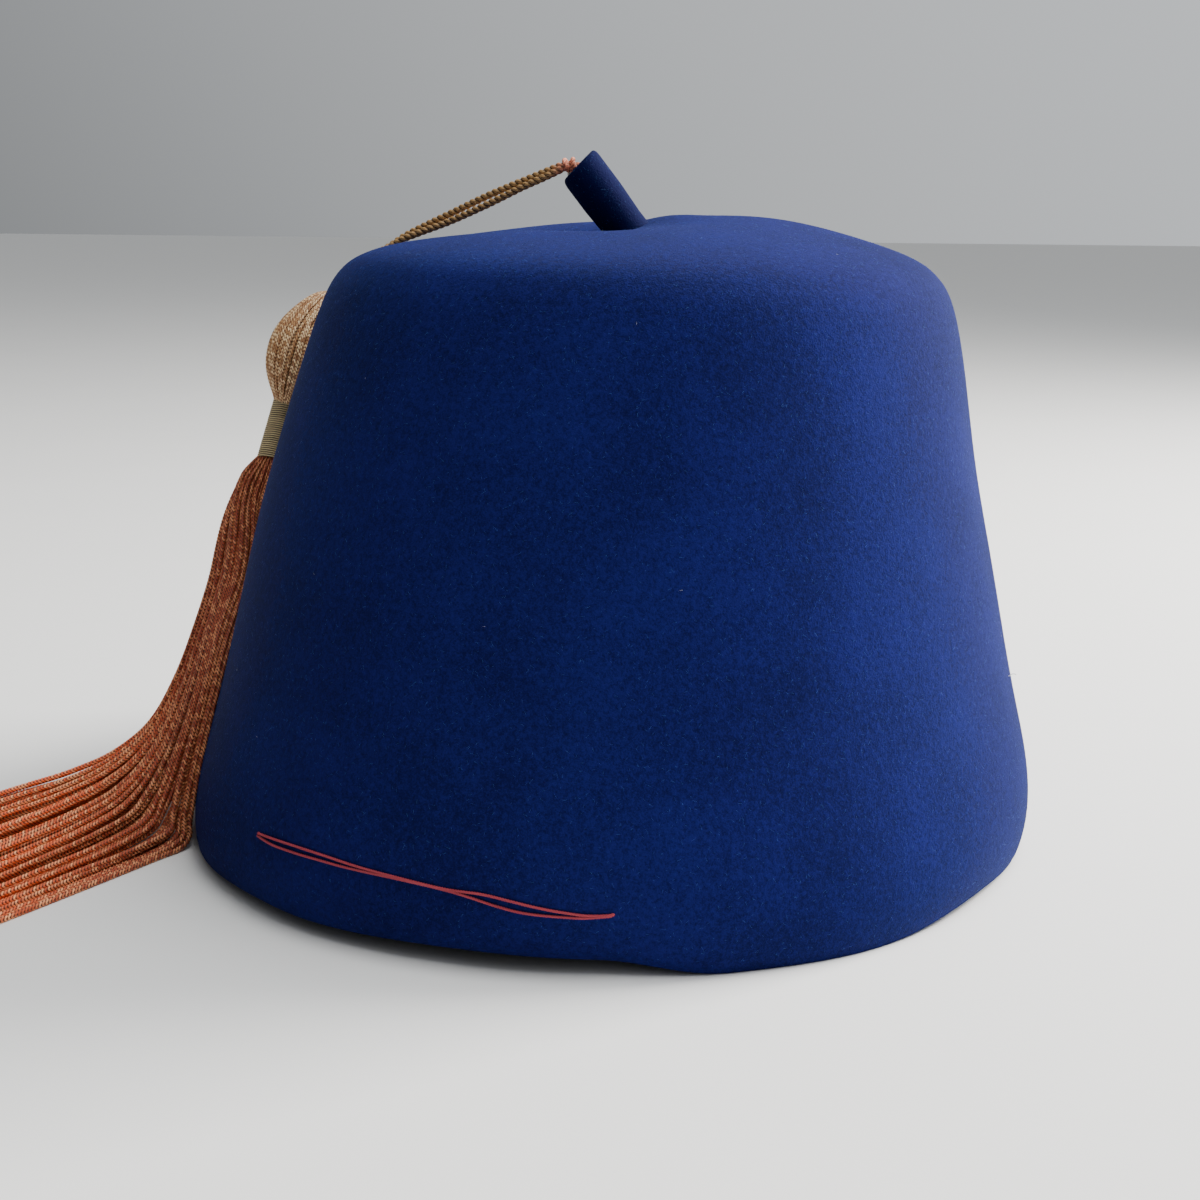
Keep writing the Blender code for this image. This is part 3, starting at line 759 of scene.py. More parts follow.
def path_object(name, lines, half_widths=None):
    """Edges along each line, with the strand's half width on their points."""
    points = np.vstack(lines)
    edges = []
    start = 0
    for line in lines:
        edges += [(start + i, start + i + 1) for i in range(len(line) - 1)]
        start += len(line)
    mesh = bpy.data.meshes.new(name)
    mesh.from_pydata([tuple(p) for p in points], edges, [])
    if half_widths is not None:
        held = mesh.attributes.new("half_width", "FLOAT", "POINT")
        held.data.foreach_set("value", np.concatenate(half_widths).astype(np.float32))
    made = bpy.data.objects.new(name, mesh)
    bpy.context.scene.collection.objects.link(made)
    return made


def laid(source, maker, name, shader, slot, **inputs):
    """Run a node group on a source object and return its result as a plain piece."""
    step = source.modifiers.new("lay", "NODES")
    step.node_group = maker.nodes
    step[maker.keys["Material"]] = shader
    for label, value in inputs.items():
        step[maker.keys[label.replace("_", " ").title()]] = value
    bpy.context.view_layer.update()
    graph = bpy.context.evaluated_depsgraph_get()
    mesh = bpy.data.meshes.new_from_object(
        source.evaluated_get(graph), preserve_all_data_layers=True, depsgraph=graph,
    )
    source.modifiers.clear()
    bpy.data.objects.remove(source, do_unlink=True)
    return finished_piece(name, mesh, shader)


def yarn(maker, name, lines, shader, slot, halves=None, **inputs):
    """Yarn or knitted strands along lines."""
    return laid(path_object(name + "_path", lines, halves), maker, name, shader, slot, **inputs)


# Felt


CROWN_ROWS = 165
CROWN_SIDES = 300
RIM_EDGE = 0.0006
# Rows of lift and inset of the rim's rounded edge, as shares of RIM_EDGE, from the wall down.
RIM_ROUNDING = ((1.0, 0.0), (0.3, 0.1), (0.08, 0.35), (0.0, 1.0))
STEM_SIDES = 72
# Rows of radius, as a share of STEM_RADIUS, and depth in metres, round the edge of the stem's end.
STEM_ROUNDING = ((0.985, 0.0010), (0.955, 0.00055), (0.91, 0.00022), (0.86, 0.00006))
# Angle of the lap along the stem, in degrees, with its groove's and its swelling's share of the radius.
LAP_ANGLE = 100.0
LAP_GROOVE = 0.045
LAP_SWELLING = 0.02
# Thickness of one turn of the rolled felt, and depth of the spiral between the turns.
ROLL_PITCH = 0.0016
ROLL_DEPTH = 0.0004


def build_crown(settings):
    """The felt crown, finer than its solid, with rounded edges at the rim."""
    felt = felt_material(
        "crown_felt", settings.felt_colour, settings.felt_light, settings.nap_colour,
    )
    outside = crown_grid(CROWN_ROWS, CROWN_SIDES)
    inside = outside - FELT * outward_normals(outside)
    outward = outside[0, :, :2] / np.linalg.norm(outside[0, :, :2], axis=1, keepdims=True)
    inside[0, :, :2] = outside[0, :, :2] - FELT * outward
    inside[0, :, 2] = outside[0, :, 2]
    rim = []
    for wall, way, rows in ((outside, -1.0, RIM_ROUNDING), (inside, 1.0, RIM_ROUNDING[::-1])):
        for lift, shift in rows:
            ring = wall[0].copy()
            ring[:, 2] += RIM_EDGE * lift
            ring[:, :2] += way * (outward * RIM_EDGE * shift)
            rim.append(ring)
    last = CROWN_ROWS - 1
    inner_rows = list(range(1, CROWN_ROWS, 5)) + [last]
    rings = [outside[i] for i in range(last, 0, -1)] + rim + [inside[i] for i in inner_rows]
    crown = finished_mesh("felt_crown", bridge_rings(rings), felt)
    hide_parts("crown")
    return crown


def surface_tree(piece):
    """A tree of the piece's faces, for finding its surface along a ray."""
    shape = bmesh.new()
    shape.from_mesh(piece.data)
    tree = BVHTree.FromBMesh(shape)
    shape.free()
    return tree


def stem_frame():
    """Centre of the stem's end, its axis and two cross directions, from the solid."""
    lean = CROWN_PROFILE[-1][1] * BASE_RADIUS
    above = Vector((lean, 0.0, CROWN_HEIGHT + STEM_LENGTH))
    seat = surface_tree(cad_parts["crown"]).ray_cast(above, Vector((0.0, 0.0, -1.0)))[0]
    axis = Vector((-math.sin(STEM_LEAN), 0.0, math.cos(STEM_LEAN)))
    right = Vector((math.cos(STEM_LEAN), 0.0, math.sin(STEM_LEAN)))
    return seat + axis * STEM_LENGTH, axis, right, Vector((0.0, 1.0, 0.0))


def build_stem(settings, crown):
    """The rolled felt stem: a spiral shows on its cut end, with a lap along the back."""
    felt = felt_material(
        "stem_felt", settings.stem_colour, settings.felt_colour, settings.nap_colour,
    )
    end, axis, right, back = stem_frame()
    tree = surface_tree(crown)
    turns = [2 * math.pi * i / STEM_SIDES for i in range(STEM_SIDES)]

    def lap(angle):
        seam = (math.degrees(angle) - LAP_ANGLE + 180.0) % 360.0 - 180.0
        swelling = LAP_SWELLING if 0 < seam < 60 else 0.0
        return -LAP_GROOVE * math.exp(-(seam / 7.0) ** 2) + swelling * math.cos(math.radians(seam * 1.5))

    def ring(radius, along, cut=0.0, spiral=0.0):
        tilted = right + axis * math.tan(cut)
        points = []
        for a in turns:
            reach = radius * (1.0 + lap(a))
            wave = math.cos(2 * math.pi * (reach / ROLL_PITCH - a / (2 * math.pi)))
            sink = -spiral * ROLL_DEPTH * (0.5 - 0.5 * wave)
            points.append(end + axis * (along + sink) + (tilted * math.cos(a) + back * math.sin(a)) * reach)
        return points

    def seated(points, sink):
        found = []
        for p in points:
            hit = tree.ray_cast(p, -axis)[0]
            found.append((hit or p - axis * STEM_LENGTH) - axis * sink)
        return found

    rings = [
        seated(ring(1.04 * STEM_ROOT_RADIUS, 0.0), 0.0008),
        seated(ring(1.03 * STEM_ROOT_RADIUS, 0.0), -0.0004),
    ]
    for share in np.linspace(0.90, 0.10, 22):
        radius = STEM_ROOT_RADIUS + (STEM_RADIUS - STEM_ROOT_RADIUS) * min(1.0, (1.0 - share) * 2.0)
        rings.append(ring(radius, -share * STEM_LENGTH, STEM_CUT * (1.0 - share)))
    for share, drop in STEM_ROUNDING:
        rings.append(ring(share * STEM_RADIUS, -drop, STEM_CUT))
    for radius in np.linspace(0.80 * STEM_RADIUS, STEM_BORE_RADIUS, 12):
        rings.append(ring(radius, 0.0, STEM_CUT, 1.0))
    rings.append(ring(0.98 * STEM_BORE_RADIUS, -0.0004, STEM_CUT))
    rings.append(ring(0.95 * STEM_BORE_RADIUS, -STEM_BORE_DEPTH))
    stem = finished_mesh("felt_stem", bridge_rings(rings), felt)
    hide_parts("stem")
    return stem


# Height under which the felt has no nap, and a place in the middle of the crown.
NAP_LOWEST = 0.0022
CROWN_MIDDLE = (0.004, 0.0, 0.060)


def is_inside_face(face):
    """True for the faces of the crown's inner wall and of its rim."""
    centre = face.calc_center_median()
    return centre.z < NAP_LOWEST or face.normal.dot(centre - Vector(CROWN_MIDDLE)) < 0.0


def scatter(piece, name, shader, slot, whole=False, **inputs):
    """Scatter fibres over a whole piece, or over the crown's outside."""
    source = bpy.data.objects.new(name + "_source", piece.data.copy())
    bpy.context.scene.collection.objects.link(source)
    if not whole:
        shape = bmesh.new()
        shape.from_mesh(source.data)
        bmesh.ops.delete(shape, geom=[f for f in shape.faces if is_inside_face(f)], context="FACES")
        shape.to_mesh(source.data)
        shape.free()
    laid(source, fibre_maker(), name, shader, slot, **inputs)


def build_nap(settings, crown, stem):
    """Short fibres that stand off the stem and the crown."""
    fuzz = plain_material("stem_fibre", settings.stem_colour, settings.nap_colour, 0.9, 900.0, 0.00002)
    scatter(
        stem, "stem_nap", fuzz, "blue_felt_stem", whole=True, count_per_area=3.0 * settings.nap_density,
        length=0.8 * settings.nap_length, half_width=0.000018, stand=0.6, seed=41,
    )
    fuzz = plain_material("felt_fibre", settings.felt_light, settings.nap_colour, 0.9, 900.0, 0.00002)
    scatter(
        crown, "felt_nap", fuzz, "blue_felt", count_per_area=settings.nap_density,
        length=settings.nap_length, half_width=0.000016, stand=0.5,
    )


# Cords


CORD_POINTS = 160


def build_cords(settings):
    """The two twisted cords from the stem to the bulb."""
    maker = twisted_yarn_maker()
    finish = twisted_material(
        "twisted_cord", settings.cord_shade, settings.cord_light, 0.45, (0.30, 0.93),
        settings.knot_colour,
    )
    for name, table, node in (
        ("twisted_cord_upper", CORD_UPPER, "cord_upper"),
        ("twisted_cord_lower", CORD_LOWER, "cord_lower"),
    ):
        route = smooth_route(np.array(table) * MM)
        points = even_points(route, CORD_POINTS)
        cord = yarn(
            maker, name, [points], finish, "copper_cord",
            plies=2, twist_pitch=settings.cord_twist, offset=0.00037, half_width=0.00052,
        )
        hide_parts(node)


# Half the size of the knot's loops, and how far they swing along the cords.
KNOT_WIDTH = 0.00205
KNOT_HEIGHT = 0.00118
KNOT_TILT = 0.0007


def build_knot(settings):
    """The small salmon knot where the cords leave the stem, and a pale thread end under it."""
    finish = twisted_material("knot_yarn", settings.knot_shade, settings.knot_colour, 0.4, (0.10, 0.80))
    middle = 0.5 * (np.array(CORD_UPPER[3]) + np.array(CORD_LOWER[3])) * MM
    way = np.array(CORD_UPPER[5]) - np.array(CORD_UPPER[2])
    way = way / np.linalg.norm(way)
    side = np.array([0.0, 1.0, 0.0])
    up = np.cross(way, side)
    up = up / np.linalg.norm(up)
    lines = []
    for shift, tilt, phase in ((-0.0004, 0.5, 0.0), (0.0009, -0.6, 1.3)):
        turn = np.linspace(0.0, 2.1 * math.pi, 26) + phase
        loop = middle + way * shift + np.outer(np.cos(turn), side) * KNOT_WIDTH
        loop = loop + np.outer(np.sin(turn), up) * KNOT_HEIGHT
        lines.append(loop + np.outer(KNOT_TILT * tilt * np.sin(turn + 0.6), way))
    yarn(
        twisted_yarn_maker(), "cord_knot", lines, finish, "copper_cord",
        plies=2, twist_pitch=0.0021, offset=0.00022, half_width=0.00030, step=0.00016, sides=9,
    )
    pale = plain_material("thread_end", (0.55, 0.50, 0.40), (0.75, 0.70, 0.60), 0.8, 1500.0, 0.00004)
    stub = middle + way * 0.0004 - up * 0.0019 * np.sign(up[2])
    shape = bmesh.new()
    bmesh.ops.create_icosphere(shape, subdivisions=3, radius=0.0005)
    for vert in shape.verts:
        vert.co = Vector(stub) + Vector((vert.co.x, vert.co.y, 1.5 * vert.co.z))
    finished_mesh("cord_thread_end", shape, pale)


# Tassel


# The bulb's outer form above and below the rows that it shares with BULB_PROFILE.
BULB_TOP = ((-0.080, 0.02), (-0.070, 0.24), (-0.025, 0.44), (0.05, 0.57), (0.14, 0.69), (0.27, 0.85))
BULB_FOOT = ((1.00, 0.36), (1.04, 0.33))
# Where the bulb's top goes as it bends over the crown's shoulder.
BULB_BEND = (0.0022, 0.0012, -0.0006)
BULB_STRAND_LIMITS = (0.00034, 0.00072)
CORE_SIDES = 32
WINDING_OVERLAP = (0.0006, 0.0002)

# Tables along the skirt: metres from the neck, and a value.
SHEET_DEPTH = ((0.0, 0.0045), (0.012, 0.0034), (0.028, 0.0024), (0.06, 0.0021), (0.15, 0.0026))
SHEET_ROOM = ((0.0, 1.25), (0.010, 1.20), (0.018, 1.08), (0.030, 0.95), (0.055, 1.0))
SQUEEZE = ((0.0, 0.35), (0.004, 0.66), (0.02, 0.88), (0.05, 0.98))
SAG = ((0.0, 0.0), (0.06, 0.0), (0.09, 0.00001), (0.15, 0.000015))
# Width of a strand as a share of its full width, by its share of the length.
STRAND_WIDTH = ((0.0, 0.55), (0.03, 0.80), (0.10, 0.92), (0.30, 1.0), (0.60, 1.12))
# Strands of the bunch are set like seeds in a head: each turns on by this angle in radians.
SEED_TURN = 2.399963
BUNCH_RADIUS = ROOT_RADIUS * 0.86
BUNCH_LEAN = 0.0005
# Metres from the neck at which a strand is out of the neck, and out of the bunch.
NECK_END = 0.0048
BUNCH_END = 0.034
# How far over the sheet the strands spread, and the last place that one may take.
SHARE_SPREAD = 0.96
SHARE_LIMIT = 0.955
# Shortest strand as a share of SKIRT_LENGTH, and how much longer the longest is.
LENGTH_SHARE = 0.955
LENGTH_SPREAD = 0.04
# Swing of a strand to its sides, and the length that goes with one radian of it.
STRAY_SWING = 0.00040
STRAY_WAVE = 0.019
# The outermost strands bulge: how far, where along them, and how widely.
BULGE = 0.0016
BULGE_PLACE = 0.058
BULGE_WIDTH = 0.009
PUSH_SHARE = 0.22
STATIONS = 64
SETTLE_ROUNDS = 140
SKIRT_GROUPS = 4


def read_table(places, table):
    """Values at the places, on straight lines between the table's rows."""
    return np.interp(places, *np.array(table).T)


def ramp(places, length):
    """0 at the start, rising to 1 at the length and staying there."""
    return np.clip(places / length, 0.0, 1.0)


def crown_reach(points):
    """Distance of the crown's wall from its own axis, and the axis, at each point's height and angle."""
    side = crown_side(160)
    radius = np.interp(points[:, 2], side[:, 2], side[:, 0])
    lean = np.interp(points[:, 2], side[:, 2], side[:, 1])
    angle = np.arctan2(points[:, 1], points[:, 0] - lean)
    radius = radius - rim_fade(points[:, 2]) * rim_wave(angle)[1]
    wall = np.stack([lean + radius * np.cos(angle), radius * np.sin(angle), points[:, 2]], axis=1)
    for depth in dent_depths(wall):
        radius = radius - depth
    return radius, lean, angle


def head_frame():
    """Top of the bulb, the way down along the head, and two cross directions."""
    side_rows = crown_side(120)

    def read(height, column):
        return float(np.interp(height, side_rows[:, 2], side_rows[:, column]))

    radius = read(HEAD_HEIGHT, 0)
    step = 0.05 * CROWN_HEIGHT
    slope = math.atan2(read(HEAD_HEIGHT - step, 0) - radius, step)
    out = Vector((math.cos(HEAD_ANGLE), math.sin(HEAD_ANGLE), 0.0))
    forward = Vector((-math.sin(HEAD_ANGLE), math.cos(HEAD_ANGLE), 0.0))
    up = Vector((0.0, 0.0, 1.0))
    wall = Vector((read(HEAD_HEIGHT, 1), 0.0, HEAD_HEIGHT)) + out * radius
    away = out * math.cos(slope) + up * math.sin(slope)
    along_wall = out * math.sin(slope) - up * math.cos(slope)
    down = along_wall * math.cos(HEAD_SWING) + forward * math.sin(HEAD_SWING)
    widest = max(BULB_PROFILE, key=lambda row: row[1])[0] * BULB_LENGTH
    top = wall + away * (BULB_RADIUS + 2 * GAP) - down * widest
    side = down.cross(up).normalized()
    return np.array(top), np.array(down), np.array(side), np.array(down.cross(side).normalized())


def bulb_reach(count):
    """Distance along the bulb and its outer radius, in metres, as dense rows."""
    table = BULB_TOP + BULB_PROFILE[4:] + BULB_FOOT
    return spline_through_table(table, count) * np.array([BULB_LENGTH, BULB_RADIUS])


def bulb_axis(along):
    """Points on the bulb's axis, which bends over the crown's shoulder at its top."""
    top, down = head_frame()[:2]
    bend = np.clip(1.0 - along / (0.45 * BULB_LENGTH), 0.0, 1.4) ** 2
    return top + np.outer(along, down) + np.outer(bend, BULB_BEND)


def build_bulb(settings):
    """Knitted strands from pole to pole of the bulb, over a core in the gaps' painted shade colour."""
    side, across = head_frame()[2:]
    rows = bulb_reach(60)
    count = settings.bulb_strands
    lines = []
    halves = []
    for i in range(count):
        angle = 2 * math.pi * i / count
        half = np.clip(math.pi * rows[:, 1] / count, *BULB_STRAND_LIMITS)
        reach = np.maximum(rows[:, 1] - half, 0.0)
        wander = angle + 0.03 * np.sin(rows[:, 0] / BULB_LENGTH * 3.0 + i * 1.7)
        spoke = side[None, :] * np.cos(wander)[:, None] + across[None, :] * np.sin(wander)[:, None]
        lines.append(bulb_axis(rows[:, 0]) + spoke * reach[:, None])
        halves.append(half * 1.08)
    finish = knitted_material(
        "bulb_yarn", settings.bulb_gap_shade, settings.bulb_colour, settings.bulb_gold_and_highlight, 0.5,
    )
    yarn(
        knitted_strand_maker(), "knitted_bulb", lines, finish, "copper_tassel", halves,
        stitch_pitch=settings.stitch_pitch, slant=0.0007, groove=0.36, seed=3,
    )
    rings = []
    for along, reach in list(rows[2::3]) + [(BULB_LENGTH + 0.95 * NECK_LENGTH, 0.0021)]:
        inner = max(reach - 0.0008, 0.0004)
        rings.append([
            Vector(bulb_axis(np.array([along]))[0] + (side * math.cos(a) + across * math.sin(a)) * inner)
            for a in np.linspace(0.0, 2 * math.pi, CORE_SIDES, endpoint=False)
        ])
    # The core shows between the strands, so it takes the gaps' painted shade colour.
    core = plain_material("core_yarn", settings.gap_shade_colour, settings.gap_shade_colour, 0.9, 800.0, 0.0001)
    finished_mesh("tassel_core", bridge_rings(rings), core)


def build_winding(settings):
    """The fine thread wound round the neck."""
    top, down = head_frame()[:2]
    start = BULB_LENGTH - WINDING_OVERLAP[0]
    end = BULB_LENGTH + NECK_LENGTH + WINDING_OVERLAP[1]
    line = [top + down * along for along in np.linspace(start, end, 12)]
    finish = twisted_material(
        "neck_thread", settings.thread_shade, settings.thread_light, 0.35, (0.80, 0.99),
    )
    winding = yarn(
        twisted_yarn_maker(), "neck_winding", [np.array(line)], finish, "beige_thread",
        plies=1, twist_pitch=0.00052, offset=0.00282, half_width=0.00028, step=0.000024, sides=6, tilt=0.36,
    )
    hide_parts("neck_binding")


def skirt_guides():
    """Front edge, middle and back edge of the skirt, as dense lines that start in the neck."""
    top, down = head_frame()[:2]
    neck = top + down * (BULB_LENGTH + NECK_LENGTH + 0.3 * BULB_RADIUS)
    guides = []
    for table in (SKIRT_FRONT, SKIRT_MIDDLE, SKIRT_BACK):
        points = np.array(table) * CROWN_SIZE
        shift = neck - np.array(SKIRT_MIDDLE[0]) * CROWN_SIZE
        fade = np.clip(1.0 - np.arange(len(points)) / 4.0, 0.0, 1.0)
        guides.append(smooth_route(points + fade[:, None] * shift))
    front = guides[0]
    wall, lean, angle = crown_reach(front)
    reach = np.hypot(front[:, 0] - lean, front[:, 1])
    low = ramp(front[:, 2] - 0.002, 0.004) * ramp(0.076 - front[:, 2], 0.012)
    reach += low * (wall + 0.0006 - reach)
    front[:, 0] = lean + reach * np.cos(angle)
    front[:, 1] = reach * np.sin(angle)
    return guides


def sheet_line(guides, share, length, count):
    """A line of the skirt between its front edge (share 0) and its back edge (share 1)."""
    weights = (2 * (share - 0.5) * (share - 1.0), -4 * share * (share - 1.0), 2 * share * (share - 0.5))
    line = sum(weight * guide for weight, guide in zip(weights, guides))
    return even_points(line, count, length)


def skirt_lines(count, stations, half):
    """Centre lines of the skirt's strands, first bunched under the neck, then side by side."""
    top, down, side, across = head_frame()
    guides = skirt_guides()
    root = top + down * (BULB_LENGTH + NECK_LENGTH - 0.0015)
    rng = np.random.default_rng(5)
    places = np.linspace(0.0, SKIRT_LENGTH, stations)
    outward = np.array([math.cos(HEAD_ANGLE), math.sin(HEAD_ANGLE), 0.0])
    depth = read_table(places, SHEET_DEPTH)
    room = read_table(places, SHEET_ROOM)[:, None]
    lean = BUNCH_LEAN * np.clip(1.0 - places / 0.035, 0.0, 1.0)
    onset = np.sqrt(1.0 - (1.0 - ramp(places, NECK_END)) ** 2)[:, None]
    stray = STRAY_SWING * ramp(places, 0.03)
    lines = np.zeros((count, stations, 3))
    for i in range(count):
        reach = math.sqrt((i + 0.5) / count)
        x, y = reach * math.cos(i * SEED_TURN), reach * math.sin(i * SEED_TURN)
        share = 0.5 + SHARE_SPREAD * (x * math.sqrt(max(0.0, 1.0 - x * x)) + math.asin(x)) / math.pi
        share = min(share, SHARE_LIMIT)
        layer = y / max(0.5, math.sqrt(max(0.0, 1.0 - x * x)))
        length = SKIRT_LENGTH * (LENGTH_SHARE + LENGTH_SPREAD * rng.random())
        centre = sheet_line(guides, 0.5, length, stations)
        line = sheet_line(guides, share, length, stations)
        wide = sheet_line(guides, share + 0.02, length, stations) - line
        way = np.gradient(line, axis=0)
        way /= np.linalg.norm(way, axis=1, keepdims=True)
        wide -= way * (wide * way).sum(axis=1, keepdims=True)
        wide /= np.linalg.norm(wide, axis=1, keepdims=True)
        off = np.cross(way, wide)
        flat = 1.0 - ramp(line[:, 2], 0.03)
        away = line * (1.0 - flat)[:, None] / np.hypot(line[:, 0], line[:, 1])[:, None]
        away[:, 2] = flat
        off *= np.sign((off * away).sum(axis=1, keepdims=True))
        line = centre + (line - centre) * room + off * (layer * depth)[:, None]
        bunch = centre + side * x * BUNCH_RADIUS - across * y * BUNCH_RADIUS + outward * lean[:, None]
        share_in = ramp(places, BUNCH_END)[:, None]
        share_in = share_in * share_in * (3.0 - 2.0 * share_in)
        line = bunch * (1.0 - share_in) + line * share_in
        start = root + (side * x - across * y) * NECK_RADIUS * 0.95
        line = start * (1.0 - onset) + line * onset
        lines[i] = line + wide * (stray * np.sin(places / STRAY_WAVE + rng.random() * 6.28))[:, None]
        if x > 0.94:
            lines[i] += wide * (BULGE * np.exp(-((places - BULGE_PLACE) / BULGE_WIDTH) ** 2))[:, None]
    return settle(lines, half, places)


def settle(lines, half, places):
    """Push strands apart where they meet, off the wall and the floor, and let them lie down."""
    count = len(lines)
    gap = 2 * half * read_table(places, SQUEEZE)
    pull = read_table(places, SAG)
    base = lines.copy()
    fixed = lines[:, :2].copy()
    for _ in range(SETTLE_ROUNDS):
        away = lines[:, None] - lines[None, :]
        distance = np.linalg.norm(away, axis=3) + 1e-9
        push = np.clip(gap[None, None, :] - distance, 0.0, None)
        push[np.arange(count), np.arange(count)] = 0.0
        moved = lines - base + PUSH_SHARE * (away / distance[..., None] * push[..., None]).sum(axis=1)
        moved[:, :, 2] -= pull[None, :]
        smooth = moved.copy()
        smooth[:, 1:-1] = 0.25 * moved[:, :-2] + 0.5 * moved[:, 1:-1] + 0.25 * moved[:, 2:]
        lines = base + 0.5 * moved + 0.5 * smooth
        lines[:, :2] = fixed
        flat = lines.reshape(-1, 3)
        wall, lean, angle = crown_reach(flat)
        reach = np.maximum(np.hypot(flat[:, 0] - lean, flat[:, 1]), wall + half)
        flat[:, 0] = lean + reach * np.cos(angle)
        flat[:, 1] = reach * np.sin(angle)
        lines = flat.reshape(lines.shape)
        lines[:, :, 2] = np.maximum(lines[:, :, 2], half * 1.02)
    return lines


def build_skirt(settings):
    """The knitted strands of the skirt, in four groups from the front to the back."""
    half = 0.5 * settings.strand_width
    lines = skirt_lines(settings.skirt_strands, STATIONS, half)
    width = half * read_table(np.linspace(0.0, 1.0, STATIONS), STRAND_WIDTH)
    finish = knitted_material(
        "skirt_yarn", settings.gap_shade_colour, settings.shaded_strand_colour, settings.gold_and_highlight_colour, 0.4,
        settings.lit_end_colour,
    )
    maker = knitted_strand_maker()
    order = np.argsort([line[STATIONS // 2][1] for line in lines])
    for group, members in enumerate(np.array_split(order, SKIRT_GROUPS)):
        chosen = [lines[i] for i in members]
        piece = yarn(
            maker, "knitted_skirt_" + str(group + 1), chosen, finish, "copper_tassel", [width] * len(chosen),
            stitch_pitch=settings.stitch_pitch, slant=0.0008, groove=0.36, seed=20 + group,
        )
        if group == 0:
            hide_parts("tassel")


# Small things on the felt


# The runs of the tacking thread with their height over the felt, and how deep their ends dive.
THREAD_RUNS = ((THREAD_UPPER, 0.00034), (THREAD_LOWER, 0.00040))
THREAD_DIP = 0.0006
THREAD_POINTS = 90
STRAY_FIBRE_PLACE = (0.0888, -0.0243, 0.0408)


def build_tacking_thread(settings, crown):
    """The two runs of red thread tacked through the front of the felt."""
    tree = surface_tree(crown)
    finish = twisted_material("red_thread", settings.red_shade, settings.red_light, 0.4)
    lines = []
    for table, lift in THREAD_RUNS:
        route = []
        for i, (degrees, height) in enumerate(table):
            angle = math.radians(degrees)
            out = Vector((math.cos(angle), math.sin(angle), 0.0))
            hit, normal, _, _ = tree.ray_cast(out * 0.2 + Vector((0, 0, height * MM)), -out)
            ends = -THREAD_DIP if i in (0, len(table) - 1) else lift
            route.append(hit + normal * ends)
        line = even_points(smooth_route(np.array([tuple(p) for p in route])), THREAD_POINTS)
        for i in range(2, len(line) - 2):
            nearest, normal, _, _ = tree.find_nearest(Vector(line[i]))
            if (Vector(line[i]) - nearest).dot(normal) < lift:
                line[i] = nearest + normal * lift
        lines.append(line)
    yarn(
        twisted_yarn_maker(), "tacking_thread", lines, finish, "blue_felt",
        plies=2, twist_pitch=0.0011, offset=0.00012, half_width=0.000165, step=0.00012, sides=7,
    )


def build_lint(settings, crown):
    """A few pale lint fibres caught in the felt, and one white fibre that stands off its right side."""
    pale = plain_material("lint_fibre", (0.25, 0.30, 0.36), (0.45, 0.48, 0.50), 0.9, 900.0, 0.00002)
    white = plain_material("white_fibre", (0.70, 0.70, 0.68), (0.90, 0.90, 0.88), 0.8, 900.0, 0.00002)
    hit, normal, _, _ = surface_tree(crown).find_nearest(Vector(STRAY_FIBRE_PLACE))
    turn = np.linspace(0.0, 1.0, 12)
    stray = np.array(hit) + np.outer(0.0019 * turn - 0.0003, normal)
    stray[:, 2] += 0.0006 * np.sin(2.6 * turn)
    yarn(
        twisted_yarn_maker(), "stray_fibre", [stray], white, "blue_felt",
        plies=1, twist_pitch=0.01, offset=0.00001, half_width=0.00009, step=0.0002, sides=6,
    )
    scatter(
        crown, "felt_lint", pale, "blue_felt",
        count_per_area=settings.lint_density, length=0.0008, half_width=0.00004, stand=0.25, seed=31,
    )


# Stage


CAMERA_PLACE = (0.0, -0.3993, 0.1432)
CAMERA_ANGLES = (12.91, -0.28, 0.60)
CAMERA_LENS = 52.5
FLOOR_REACH = 6.0
SKY_BRIGHT_WAY = (0.78, 0.36, 0.51)
SKY_DARKEST = 0.14
SKY_COLOUR = (0.84, 0.87, 0.90, 1.0)
KEY_PLACE = (0.85, 0.30, 0.60)
OVERHEAD_PLACE = (0.42, -0.10, 1.25)


def build_camera():
    """The camera, from the photograph's angle."""
    pitch, yaw, roll = (math.radians(angle) for angle in CAMERA_ANGLES)
    ahead = Vector((math.sin(yaw) * math.cos(pitch), math.cos(yaw) * math.cos(pitch), -math.sin(pitch)))
    right = Vector((math.cos(yaw), -math.sin(yaw), 0.0))
    up = right.cross(ahead)
    across = right * math.cos(roll) + up * math.sin(roll)
    upward = -right * math.sin(roll) + up * math.cos(roll)
    data = bpy.data.cameras.new("camera")
    data.sensor_width = 36.0
    data.lens = CAMERA_LENS
    data.clip_start = 0.01
    data.clip_end = 50.0
    camera = bpy.data.objects.new("camera", data)
    turn = Matrix((across, upward, -ahead)).transposed().to_4x4()
    camera.matrix_world = Matrix.Translation(Vector(CAMERA_PLACE)) @ turn
    bpy.context.scene.collection.objects.link(camera)
    bpy.context.scene.camera = camera


def area_light(name, place, target, size, power, colour):
    """A soft square light that shines at a point."""
    data = bpy.data.lights.new(name, "AREA")
    data.shape = "RECTANGLE"
    data.size = size[0]
    data.size_y = size[1]
    data.energy = power
    data.color = colour
    made = bpy.data.objects.new(name, data)
    made.location = place
    made.rotation_euler = (Vector(target) - Vector(place)).to_track_quat("-Z", "Y").to_euler()
    bpy.context.scene.collection.objects.link(made)


